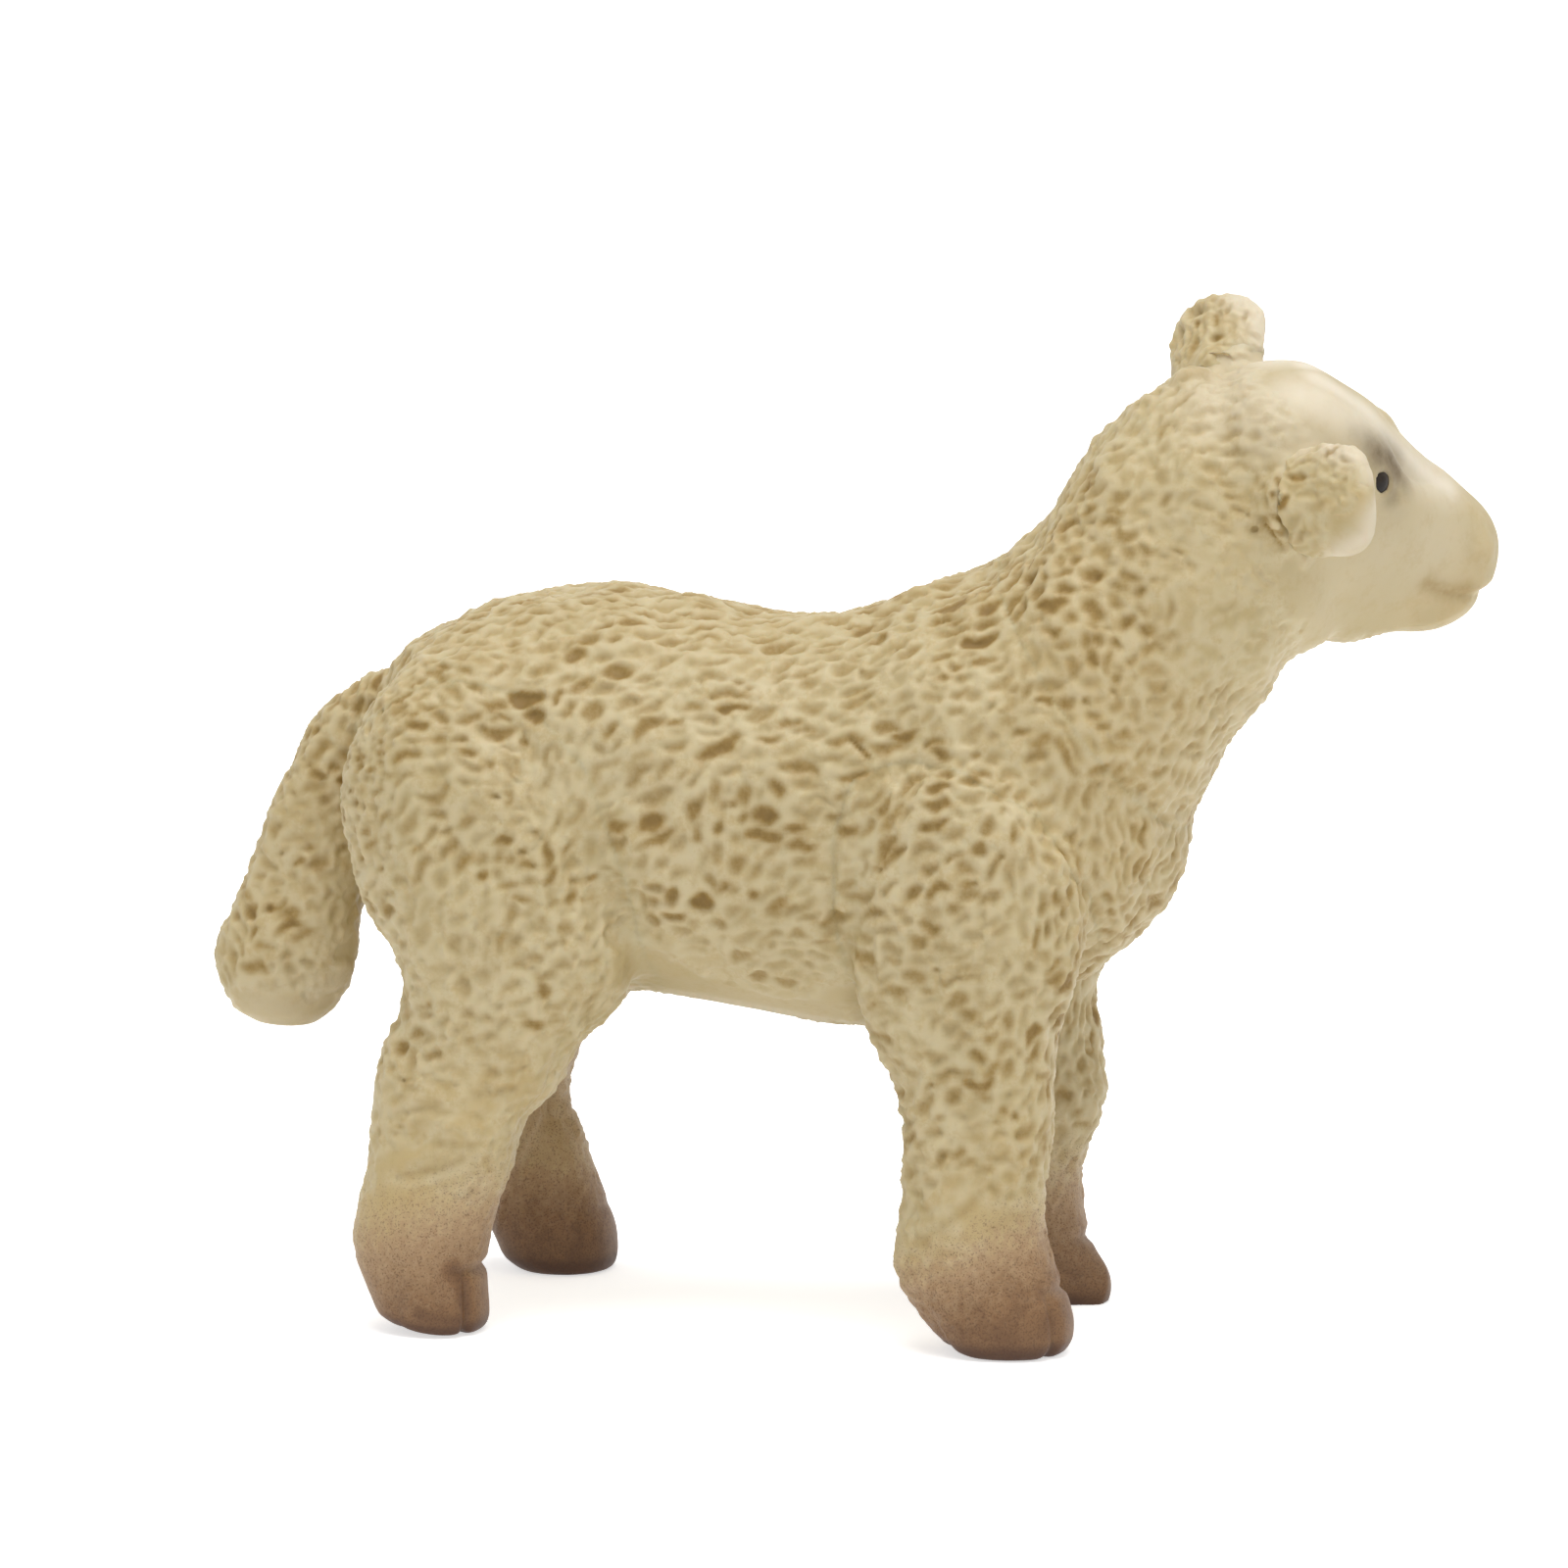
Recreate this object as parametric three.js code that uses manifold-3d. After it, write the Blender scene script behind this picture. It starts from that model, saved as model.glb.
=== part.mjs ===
import * as THREE from 'three';
import { mergeVertices } from 'three/addons/utils/BufferGeometryUtils.js';
import Module from 'manifold-3d';

// A moulded toy lamb that stands on four hooves. Lengths are in millimetres.
// +X runs to the head, +Y to the left side of the lamb and +Z up. The soles rest at height zero.

// Trunk
const trunkLength = 31.97;
const trunkRearX = -19.03;
const backHeight = 27.91;
const trunkHalfWidth = 7.21;

// Neck
const neckStart = new THREE.Vector3(2.54, 0, 19.79);
const neckBase = new THREE.Vector3(7.71, 0, 23.14);
const neckMiddle = new THREE.Vector3(11.47, 0.41, 27.91);
const neckTop = new THREE.Vector3(14.31, 1.12, 31.36);
const neckEnd = new THREE.Vector3(17.46, 2.44, 33.49);
const neckDepth = 5.99;
const neckWidth = 5.99;

// Head
const headCentre = new THREE.Vector3(16.19, 1.52, 31.87);
const muzzleReach = 9.49;
const skullHeight = 5.23;
const muzzleLeanShare = 0.24;
const skullHalfWidth = 4.06;
const headTurn = THREE.MathUtils.degToRad(40);
const headDip = THREE.MathUtils.degToRad(19);
const headTilt = THREE.MathUtils.degToRad(20);

// Ears, as root and tip in the frame of the head, and the way that the back of the blade faces
const earHalfWidth = 2.03;
const earHalfThickness = 0.73;
const earCup = 0.36;
const earSeamReach = 1.27;
const earRightRoot = new THREE.Vector3(-2.64, -3.04, 0.3);
const earRightTip = new THREE.Vector3(-0.46, -6.5, 3.04);
const earRightBack = new THREE.Vector3(-0.76, -0.65, 0.0);
const earLeftRoot = new THREE.Vector3(-2.84, 2.94, 1.01);
const earLeftTip = new THREE.Vector3(-2.69, 6.5, 4.82);
const earLeftBack = new THREE.Vector3(-0.9, -0.25, 0.35);

// Eyes
const eyeRadius = 0.63;
const eyeHeight = 0.61;
const eyeSunk = 0.39;
const eyeForward = 1.98;
const eyeUp = 2.64;
const eyeOut = 3.02;
const eyeRimShare = 0.25;
const eyeOutward = new THREE.Vector3(0.25, 0.9, 0.35);
const eyeGap = 0.12;

// Front legs
const frontLegHeight = 23.65;
const frontLegDepth = 9.74;
const frontLegReach = 8.42;
const frontLegRearX = 0.61;
const frontLegStep = -1.22;
const frontLegSpread = -0.61;

// Hind legs
const hindLegHeight = 26.19;
const hindLegDepth = 11.57;
const hindLegReach = 8.83;
const hindLegRearX = -18.88;
const hindLegStep = 1.73;
const hindLegSpread = 0.81;

// Tail
const tailDrop = 3.65;
const tailLength = 13.9;
const tailDepth = 8.42;
const tailHalfWidth = 2.33;
const tailRearX = -25.37;

// Seams where the castings are glued together
const glueGap = 0.25;
const limbSeamY = 3.04;
const limbPegRadius = 1.42;
const limbPegLength = 1.32;
const limbPegRoot = 1.2;
const neckSeam = new THREE.Vector3(9.19, 0, 24.21);
const neckSeamDirection = new THREE.Vector3(0.81, 0, 0.58).normalize();
const neckPegRadius = 1.83;
const neckPegLength = 2.64;
const neckPegRoot = 2.2;
const tailSeamX = -19.18;
const tailPegRadius = 0.81;
const tailPegLength = 1.62;
const tailPegRoot = 0.91;
const tailPegDrop = 3.05;
const cutterSize = 60;

// Trunk sections from rump to chest. Each row holds the place along the trunk,
// the back and the belly over the height of the back, and the half width.
const trunkShares = [
  [0.000, 0.745, 0.735, 0.010],
  [0.006, 0.800, 0.662, 0.240],
  [0.025, 0.862, 0.596, 0.465],
  [0.063, 0.922, 0.535, 0.660],
  [0.126, 0.968, 0.480, 0.830],
  [0.205, 0.989, 0.455, 0.915],
  [0.300, 1.000, 0.444, 0.958],
  [0.410, 0.989, 0.436, 0.986],
  [0.520, 0.967, 0.418, 1.000],
  [0.614, 0.975, 0.404, 0.986],
  [0.709, 1.012, 0.418, 0.958],
  [0.803, 1.040, 0.447, 0.915],
  [0.882, 0.980, 0.484, 0.817],
  [0.939, 0.900, 0.535, 0.676],
  [0.976, 0.828, 0.589, 0.480],
  [0.995, 0.765, 0.650, 0.225],
  [1.000, 0.718, 0.704, 0.010],
];

// Neck sections. Each row holds the place along the neck, the depth and the width.
const neckShares = [
  [0.00, 0.05, 0.05],
  [0.02, 0.55, 0.55],
  [0.08, 0.82, 0.82],
  [0.25, 1.00, 1.00],
  [0.38, 0.92, 0.91],
  [0.50, 0.90, 0.84],
  [0.75, 0.93, 0.78],
  [0.90, 0.72, 0.62],
  [0.98, 0.35, 0.32],
  [1.00, 0.03, 0.03],
];

// Head sections from poll to nose. Each row holds the place along the head,
// the top and the underside over the skull height, and the half width.
const headShares = [
  [-0.513, 0.057, -0.057, 0.025],
  [-0.482, 0.360, -0.360, 0.425],
  [-0.380, 0.755, -0.717, 0.750],
  [-0.185, 0.981, -0.925, 0.950],
  [0.050, 0.972, -1.000, 1.000],
  [0.246, 0.887, -0.981, 0.912],
  [0.410, 0.730, -0.900, 0.787],
  [0.554, 0.595, -0.780, 0.662],
  [0.738, 0.420, -0.660, 0.562],
  [0.872, 0.300, -0.600, 0.500],
  [0.944, 0.190, -0.500, 0.400],
  [0.985, 0.060, -0.340, 0.237],
  [1.000, -0.070, -0.160, 0.025],
];

// Ear sections from root to tip. Each row holds the place along the ear, the width and the thickness.
const earShares = [
  [0.00, 0.70, 1.20],
  [0.15, 0.76, 1.25],
  [0.35, 0.88, 1.15],
  [0.60, 1.00, 1.00],
  [0.80, 0.97, 0.85],
  [0.92, 0.76, 0.66],
  [0.98, 0.44, 0.42],
  [1.00, 0.05, 0.08],
];

// Leg sections from sole to shoulder or haunch. Each row holds the height, the rear and the front
// over the depth of the leg, and the inner and the outer side over its reach from the middle.
const frontLegShares = [
  [0.000, 0.427, 0.896, 0.470, 0.964],
  [0.021, 0.385, 0.938, 0.446, 0.994],
  [0.052, 0.344, 0.943, 0.434, 1.000],
  [0.094, 0.281, 0.917, 0.434, 0.994],
  [0.142, 0.250, 0.865, 0.458, 0.964],
  [0.206, 0.250, 0.813, 0.470, 0.934],
  [0.279, 0.276, 0.823, 0.470, 0.928],
  [0.361, 0.260, 0.859, 0.446, 0.934],
  [0.429, 0.219, 0.859, 0.430, 0.934],
  [0.515, 0.125, 0.875, 0.400, 0.940],
  [0.601, 0.052, 0.938, 0.313, 0.952],
  [0.730, 0.021, 0.990, 0.181, 0.964],
  [0.837, 0.052, 0.938, 0.145, 0.940],
  [0.923, 0.146, 0.813, 0.145, 0.867],
  [0.979, 0.271, 0.667, 0.181, 0.747],
  [1.000, 0.417, 0.521, 0.301, 0.542],
];

const hindLegShares = [
  [0.000, 0.202, 0.500, 0.483, 0.954],
  [0.019, 0.132, 0.518, 0.460, 0.989],
  [0.058, 0.096, 0.513, 0.448, 1.000],
  [0.101, 0.053, 0.509, 0.448, 0.989],
  [0.140, 0.053, 0.522, 0.460, 0.966],
  [0.194, 0.088, 0.553, 0.460, 0.943],
  [0.256, 0.118, 0.614, 0.460, 0.920],
  [0.318, 0.132, 0.711, 0.437, 0.908],
  [0.380, 0.158, 0.816, 0.410, 0.902],
  [0.446, 0.219, 0.930, 0.370, 0.897],
  [0.512, 0.211, 0.982, 0.276, 0.897],
  [0.593, 0.105, 1.000, 0.184, 0.897],
  [0.698, 0.018, 0.965, 0.138, 0.874],
  [0.814, 0.000, 0.895, 0.138, 0.816],
  [0.911, 0.079, 0.789, 0.138, 0.713],
  [0.977, 0.228, 0.649, 0.172, 0.563],
  [1.000, 0.386, 0.509, 0.253, 0.391],
];

// How far the rear and the front of a left leg are set off from the right one, over its step,
// and how far it is set outwards, over its spread, by height.
const frontStepShares = [
  [0.00, 1.00, 1.00, 1.0],
  [0.20, 0.90, 0.90, 0.7],
  [0.33, 0.35, 0.35, 0.5],
  [0.43, 0.30, 0.30, 0.3],
  [0.53, 0.60, 0.60, 0.2],
  [0.63, 0.35, 0.35, 0.1],
  [0.80, 0.00, 0.00, 0.0],
  [1.00, 0.00, 0.00, 0.0],
];
const hindStepShares = [
  [0.00, 1.00, 1.00, 1.0],
  [0.08, 0.95, 0.95, 0.9],
  [0.20, 0.20, 0.00, 0.7],
  [0.30, -0.35, -1.00, 0.4],
  [0.40, -0.45, -1.30, 0.2],
  [0.55, -0.10, -0.40, 0.0],
  [0.70, 0.00, 0.00, 0.0],
  [1.00, 0.00, 0.00, 0.0],
];
const evenStepShares = [
  [0.0, 0.0, 0.0, 0.0],
  [1.0, 0.0, 0.0, 0.0],
];

const tailShares = [
  [0.000, 0.313, 0.361, -0.087, 0.087],
  [0.010, 0.181, 0.482, -0.522, 0.522],
  [0.051, 0.072, 0.566, -0.826, 0.826],
  [0.117, 0.006, 0.639, -0.957, 0.957],
  [0.197, 0.012, 0.675, -1.000, 1.000],
  [0.298, 0.120, 0.699, -0.978, 0.978],
  [0.422, 0.205, 0.723, -0.913, 0.913],
  [0.620, 0.325, 0.795, -0.826, 0.826],
  [0.803, 0.458, 0.892, -0.739, 0.739],
  [0.906, 0.578, 0.964, -0.652, 0.652],
  [0.977, 0.723, 1.000, -0.522, 0.522],
  [1.000, 0.831, 0.916, -0.174, 0.174],
];

// Seam outlines seen from the side, as places along and above the leg.
const shoulderSeamShares = [
  [1.25, -0.04], [1.08, 0.50], [1.00, 0.62], [0.99, 0.74], [0.84, 0.87],
  [0.52, 0.945], [0.28, 0.96], [0.08, 0.93], [0.00, 0.84], [-0.01, 0.70],
  [0.03, 0.60], [0.07, 0.49], [-0.10, 0.46], [-0.10, -0.04],
];
const haunchSeamShares = [
  [1.20, -0.04], [1.10, 0.43], [1.05, 0.52], [1.00, 0.68], [0.86, 0.84],
  [0.62, 0.94], [0.31, 0.955], [0.05, 0.88], [-0.12, 0.76], [-0.20, 0.60], [-0.20, -0.04],
];

const roundSides = 28;
const legSides = 20;
const earSides = 16;
const eyeSides = 16;
const eyeSteps = 5;
const pegSides = 20;
const weldDistance = 1e-5;
const bodyStepShare = 0.09;
const legStepShare = 0.075;
const tailStepShare = 0.13;
const sectionPower = 2.15;
const hoofPower = 2.3;

// Solids from sections

const library = await Module();
library.setup();

function solidOf(positions, faces) {
  const mesh = new library.Mesh({
    numProp: 3,
    vertProperties: new Float32Array(positions),
    triVerts: new Uint32Array(faces),
  });
  return new library.Manifold(mesh);
}

function solidFromGeometry(geometry) {
  const bare = geometry.clone();
  bare.deleteAttribute('normal');
  bare.deleteAttribute('uv');
  const merged = mergeVertices(bare, weldDistance);
  return solidOf(merged.attributes.position.array, merged.index.array);
}

function volumeOf(positions, faces) {
  const [a, b, c] = [new THREE.Vector3(), new THREE.Vector3(), new THREE.Vector3()];
  let volume = 0;
  for (let i = 0; i < faces.length; i += 3) {
    a.fromArray(positions, 3 * faces[i]);
    b.fromArray(positions, 3 * faces[i + 1]);
    c.fromArray(positions, 3 * faces[i + 2]);
    volume += a.dot(b.cross(c));
  }
  return volume;
}

// Joins rings of points into a closed skin. Both ends close with a fan about the middle of the ring.
function solidFromRings(rings) {
  const positions = [];
  const faces = [];
  const sides = rings[0].length;
  rings.forEach((ring) => ring.forEach((point) => positions.push(point.x, point.y, point.z)));
  for (let row = 0; row + 1 < rings.length; row += 1) {
    for (let side = 0; side < sides; side += 1) {
      const next = (side + 1) % sides;
      const [a, b] = [row * sides + side, row * sides + next];
      const [c, d] = [a + sides, b + sides];
      faces.push(a, b, d, a, d, c);
    }
  }
  const fan = (row, turned) => {
    const middle = rings[row].reduce((sum, point) => sum.add(point), new THREE.Vector3());
    middle.divideScalar(sides);
    const centre = positions.length / 3;
    positions.push(middle.x, middle.y, middle.z);
    for (let side = 0; side < sides; side += 1) {
      const [a, b] = [row * sides + side, row * sides + ((side + 1) % sides)];
      faces.push(...(turned ? [centre, b, a] : [centre, a, b]));
    }
  };
  fan(0, true);
  fan(rings.length - 1, false);
  if (volumeOf(positions, faces) < 0) {
    for (let i = 0; i < faces.length; i += 3) {
      [faces[i], faces[i + 1]] = [faces[i + 1], faces[i]];
    }
  }
  return solidOf(positions, faces);
}

// Reads a table of shares as smooth curves of its first column.
function rowAt(shares, place) {
  const size = shares[0].length - 1;
  const keys = shares.map((row) => row[0]);
  const values = shares.flatMap((row) => row.slice(1));
  const curve = new THREE.CubicInterpolant(keys, values, size, new Float64Array(size));
  return [place, ...curve.evaluate(place)];
}

// The rows of a table, with others between two that lie further apart than the step.
function smoothRows(shares, stepShare) {
  const keys = shares.map((row) => row[0]);
  const places = keys.flatMap((key, i) => {
    if (i + 1 === keys.length) {
      return [key];
    }
    const parts = Math.ceil((keys[i + 1] - key) / stepShare);
    return Array.from({ length: parts }, (_, part) => key + ((keys[i + 1] - key) * part) / parts);
  });
  return places.map((place) => rowAt(shares, place));
}

function roundedTurn(sides, power) {
  const corner = (value) => Math.sign(value) * Math.abs(value) ** (2 / power);
  return Array.from({ length: sides }, (_, i) => {
    const angle = (2 * Math.PI * i) / sides;
    return [corner(Math.cos(angle)), corner(Math.sin(angle))];
  });
}

// Trunk, as upright sections one behind the other

function trunkSolid() {
  const turn = roundedTurn(roundSides, sectionPower);
  const rings = smoothRows(trunkShares, bodyStepShare).map(([along, back, belly, width]) => {
    const x = trunkRearX + along * trunkLength;
    const middle = (backHeight * (back + belly)) / 2;
    const half = (backHeight * (back - belly)) / 2;
    return turn.map(([a, b]) => new THREE.Vector3(x, a * width * trunkHalfWidth, middle + b * half));
  });
  return solidFromRings(rings);
}

// Neck, as sections square to a bent middle line

function neckSolid(margin) {
  const line = new THREE.CatmullRomCurve3([neckStart, neckBase, neckMiddle, neckTop, neckEnd]);
  const turn = roundedTurn(roundSides, sectionPower);
  const rings = smoothRows(neckShares, bodyStepShare).map(([along, depth, width]) => {
    const centre = line.getPoint(Math.min(along, 1));
    const tangent = line.getTangent(Math.min(along, 1));
    const across = new THREE.Vector3(0, 1, 0).addScaledVector(tangent, -tangent.y).normalize();
    const up = new THREE.Vector3().crossVectors(tangent, across);
    return turn.map(([a, b]) => centre.clone()
      .addScaledVector(across, a * (width * neckWidth + margin))
      .addScaledVector(up, b * (depth * neckDepth + margin)));
  });
  return solidFromRings(rings);
}

// Head, in a frame of its own with X to the nose, Y to the left ear and Z to the crown

const headFrame = new THREE.Matrix4()
  .makeRotationFromEuler(new THREE.Euler(headTilt, headDip, headTurn, 'ZYX'))
  .setPosition(headCentre);

function fromHead(x, y, z) {
  return new THREE.Vector3(x, y, z).applyMatrix4(headFrame);
}

function headSolid(margin) {
  const turn = roundedTurn(roundSides, sectionPower);
  const rings = smoothRows(headShares, bodyStepShare).map(([along, top, under, width]) => {
    const middle = (skullHeight * (top + under)) / 2;
    const half = (skullHeight * (top - under)) / 2 + margin;
    const side = width * skullHalfWidth + margin;
    return turn.map(([a, b]) => {
      const z = middle + b * half;
      return fromHead(along * muzzleReach + Math.max(along, 0) * muzzleLeanShare * z, a * side, z);
    });
  });
  return solidFromRings(rings);
}

// Ear, as a cupped blade along the line from its root to its tip

function earAxes(ear) {
  const start = ear.root.clone().applyMatrix4(headFrame);
  const end = ear.tip.clone().applyMatrix4(headFrame);
  const along = end.clone().sub(start).normalize();
  const rear = ear.back.clone().transformDirection(headFrame);
  rear.addScaledVector(along, -rear.dot(along)).normalize();
  const across = new THREE.Vector3().crossVectors(along, rear);
  return { start, end, along, rear, across };
}

function earSolid(ear) {
  const { start, end, rear, across } = earAxes(ear);
  const turn = roundedTurn(earSides, sectionPower);
  const rings = smoothRows(earShares, bodyStepShare).map(([along, width, thickness]) => {
    const centre = start.clone().lerp(end, along);
    return turn.map(([a, b]) => centre.clone()
      .addScaledVector(across, a * width * earHalfWidth)
      .addScaledVector(rear, b * thickness * earHalfThickness - earCup * width * a * a));
  });
  return solidFromRings(rings);
}

function earCutter(ear, shift) {
  const { start, along, rear, across } = earAxes(ear);
  const block = new THREE.BoxGeometry(cutterSize, cutterSize, cutterSize);
  block.translate(earSeamReach + shift + cutterSize / 2, 0, 0);
  const frame = new THREE.Matrix4().makeBasis(along, rear, across).setPosition(start);
  block.applyMatrix4(frame);
  return solidFromGeometry(block);
}

// Eye, a lacquer dome with a flat back in a shallow round socket

function eyeFrame(side) {
  const outward = eyeOutward.clone().setY(side * eyeOutward.y).normalize();
  const seat = new THREE.Vector3(eyeForward, side * eyeOut, eyeUp).addScaledVector(outward, -eyeSunk);
  const turned = new THREE.Quaternion().setFromUnitVectors(new THREE.Vector3(0, 1, 0), outward);
  const local = new THREE.Matrix4().makeRotationFromQuaternion(turned).setPosition(seat);
  return new THREE.Matrix4().multiplyMatrices(headFrame, local);
}

function eyeDome(side) {
  const profile = [new THREE.Vector2(0, 0), new THREE.Vector2(eyeRadius, 0)];
  for (let i = 0; i < eyeSteps; i += 1) {
    const angle = (Math.PI / 2) * (i / eyeSteps);
    const height = eyeHeight * (eyeRimShare + (1 - eyeRimShare) * Math.sin(angle));
    profile.push(new THREE.Vector2(eyeRadius * Math.cos(angle), height));
  }
  profile.push(new THREE.Vector2(0, eyeHeight));
  return solidFromGeometry(new THREE.LatheGeometry(profile, eyeSides).applyMatrix4(eyeFrame(side)));
}

function eyeSocket(side) {
  const depth = 3 * eyeSunk;
  const hole = new THREE.CylinderGeometry(eyeRadius + eyeGap, eyeRadius + eyeGap, depth, eyeSides);
  hole.translate(0, depth / 2 - eyeGap, 0);
  return solidFromGeometry(hole.applyMatrix4(eyeFrame(side)));
}

// Legs and tail, as level sections one above the other

function levelSolid(shares, sizes, side, stance, power) {
  const turn = roundedTurn(legSides, power);
  const rings = smoothRows(shares, sizes.stepShare).map(([height, rear, front, inner, outer]) => {
    const [, rearStep, frontStep, spread] = rowAt(stance.shares, height);
    const rearX = sizes.rearX + sizes.depth * rear + stance.step * rearStep;
    const frontX = sizes.rearX + sizes.depth * front + stance.step * frontStep;
    const middleY = side * ((sizes.reach * (inner + outer)) / 2 + stance.spread * spread);
    const halfY = (sizes.reach * (outer - inner)) / 2;
    return turn.map(([a, b]) => new THREE.Vector3(
      (rearX + frontX + a * (frontX - rearX)) / 2,
      middleY + b * halfY,
      sizes.foot + height * sizes.height,
    ));
  });
  return solidFromRings(rings);
}

const frontLegSizes = {
  foot: 0,
  height: frontLegHeight,
  depth: frontLegDepth,
  reach: frontLegReach,
  rearX: frontLegRearX,
  stepShare: legStepShare,
};
const hindLegSizes = {
  foot: 0,
  height: hindLegHeight,
  depth: hindLegDepth,
  reach: hindLegReach,
  rearX: hindLegRearX,
  stepShare: legStepShare,
};
const tailTop = backHeight - tailDrop;
const tailSizes = {
  foot: tailTop - tailLength,
  height: tailLength,
  depth: tailDepth,
  reach: tailHalfWidth,
  rearX: tailRearX,
  stepShare: tailStepShare,
};
const evenStance = { shares: evenStepShares, step: 0, spread: 0 };
const frontStance = { shares: frontStepShares, step: frontLegStep, spread: frontLegSpread };
const hindStance = { shares: hindStepShares, step: hindLegStep, spread: hindLegSpread };

// Cutter for a limb seam: the outline seen from the side, pushed outwards from the seam face

function seamCutter(outlineShares, sizes, side, margin) {
  const points = outlineShares.map(([along, up]) => new THREE.Vector2(
    sizes.rearX + along * sizes.depth,
    up * sizes.height,
  ));
  const middle = new THREE.Vector2();
  points.forEach((point) => middle.add(point));
  middle.divideScalar(points.length);
  points.forEach((point) => {
    const outward = point.clone().sub(middle);
    point.addScaledVector(outward.normalize(), margin);
  });
  const outline = new THREE.Shape(points);
  const prism = new THREE.ExtrudeGeometry(outline, { depth: cutterSize, bevelEnabled: false });
  prism.rotateX(Math.PI / 2);
  const near = side < 0 ? -limbSeamY : limbSeamY + cutterSize;
  prism.translate(0, near, 0);
  return solidFromGeometry(prism);
}

function pegAcross(radius, length, x, z, side) {
  const peg = new THREE.CylinderGeometry(radius, radius, length + limbPegRoot, pegSides);
  peg.translate(x, side * (limbSeamY + (limbPegRoot - length) / 2), z);
  return solidFromGeometry(peg);
}

// Cutter on one side of the neck seam, and the peg along it

function neckCutter(shift) {
  const block = new THREE.BoxGeometry(cutterSize, cutterSize, cutterSize);
  block.translate(0, shift + cutterSize / 2, 0);
  const turned = new THREE.Quaternion().setFromUnitVectors(new THREE.Vector3(0, 1, 0), neckSeamDirection);
  block.applyQuaternion(turned);
  block.translate(neckSeam.x, neckSeam.y, neckSeam.z);
  return solidFromGeometry(block);
}

function neckPeg(radius, length) {
  const peg = new THREE.CylinderGeometry(radius, radius, length + neckPegRoot, pegSides);
  peg.translate(0, (neckPegRoot - length) / 2, 0);
  const turned = new THREE.Quaternion().setFromUnitVectors(new THREE.Vector3(0, 1, 0), neckSeamDirection);
  peg.applyQuaternion(turned);
  peg.translate(neckSeam.x, neckSeam.y, neckSeam.z);
  return solidFromGeometry(peg);
}

function tailCutter(shift) {
  const block = new THREE.BoxGeometry(cutterSize, cutterSize, cutterSize);
  block.translate(tailSeamX - shift - cutterSize / 2, 0, 0);
  return solidFromGeometry(block);
}

function tailPeg(radius, length) {
  const peg = new THREE.CylinderGeometry(radius, radius, length + tailPegRoot, pegSides);
  peg.rotateZ(Math.PI / 2);
  peg.translate(tailSeamX + (length - tailPegRoot) / 2, 0, tailTop - tailPegDrop);
  return solidFromGeometry(peg);
}

// Whole skin of the lamb before it is parted

const frontLeg = {
  sizes: frontLegSizes,
  shares: frontLegShares,
  outline: shoulderSeamShares,
  pegAlongShare: 0.50,
  pegUpShare: 0.74,
};
const hindLeg = {
  sizes: hindLegSizes,
  shares: hindLegShares,
  outline: haunchSeamShares,
  pegAlongShare: 0.48,
  pegUpShare: 0.70,
};
const legs = [
  { name: 'leg_front_right', side: -1, stance: evenStance, ...frontLeg },
  { name: 'leg_front_left', side: 1, stance: frontStance, ...frontLeg },
  { name: 'leg_hind_right', side: -1, stance: evenStance, ...hindLeg },
  { name: 'leg_hind_left', side: 1, stance: hindStance, ...hindLeg },
];

const ears = [
  { name: 'ear_right', root: earRightRoot, tip: earRightTip, back: earRightBack },
  { name: 'ear_left', root: earLeftRoot, tip: earLeftTip, back: earLeftBack },
];

const tailLoft = levelSolid(tailShares, tailSizes, 1, evenStance, sectionPower);
let trunk = trunkSolid().add(neckSolid(0));
legs.forEach((leg) => {
  trunk = trunk.add(levelSolid(leg.shares, leg.sizes, leg.side, leg.stance, hoofPower));
});

// Pieces

const pieces = new Map();

const headMargin = headSolid(glueGap).add(neckSolid(glueGap));
let head = trunk.intersect(neckCutter(glueGap)).add(headSolid(0));
head = head.add(neckPeg(neckPegRadius, neckPegLength));
ears.forEach((ear) => {
  const blade = earSolid(ear);
  const freeBlade = blade.intersect(earCutter(ear, glueGap));
  head = head.add(blade.subtract(earCutter(ear, 0)));
  pieces.set(ear.name, freeBlade.subtract(headMargin));
});

[['eye_right', -1], ['eye_left', 1]].forEach(([name, side]) => {
  head = head.subtract(eyeSocket(side));
  pieces.set(name, eyeDome(side));
});
pieces.set('head', head);

let torso = trunk.subtract(neckCutter(0));
torso = torso.add(tailLoft.subtract(tailCutter(0)));
const tail = tailLoft.intersect(tailCutter(glueGap)).add(tailPeg(tailPegRadius, tailPegLength));
pieces.set('tail', tail);
torso = torso.subtract(neckPeg(neckPegRadius + glueGap, neckPegLength + glueGap));
torso = torso.subtract(tailPeg(tailPegRadius + glueGap, tailPegLength + glueGap));

legs.forEach((leg) => {
  const pegX = leg.sizes.rearX + leg.pegAlongShare * leg.sizes.depth;
  const pegZ = leg.pegUpShare * leg.sizes.height;
  const inside = seamCutter(leg.outline, leg.sizes, leg.side, -glueGap);
  const limb = trunk.subtract(neckCutter(0)).intersect(inside);
  pieces.set(leg.name, limb.add(pegAcross(limbPegRadius, limbPegLength, pegX, pegZ, leg.side)));
  torso = torso.subtract(seamCutter(leg.outline, leg.sizes, leg.side, 0));
  torso = torso.subtract(pegAcross(limbPegRadius + glueGap, limbPegLength + glueGap, pegX, pegZ, leg.side));
});
pieces.set('torso', torso);

// Painted soft plastic: one colour for each piece

const fleece = 0xcdb88c;
const face = 0xd9c9a6;
const earColour = 0xd3bd90;
const eyeBlack = 0x17140f;

function paint(color, roughness) {
  return new THREE.MeshStandardMaterial({ color, roughness, metalness: 0 });
}

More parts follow.
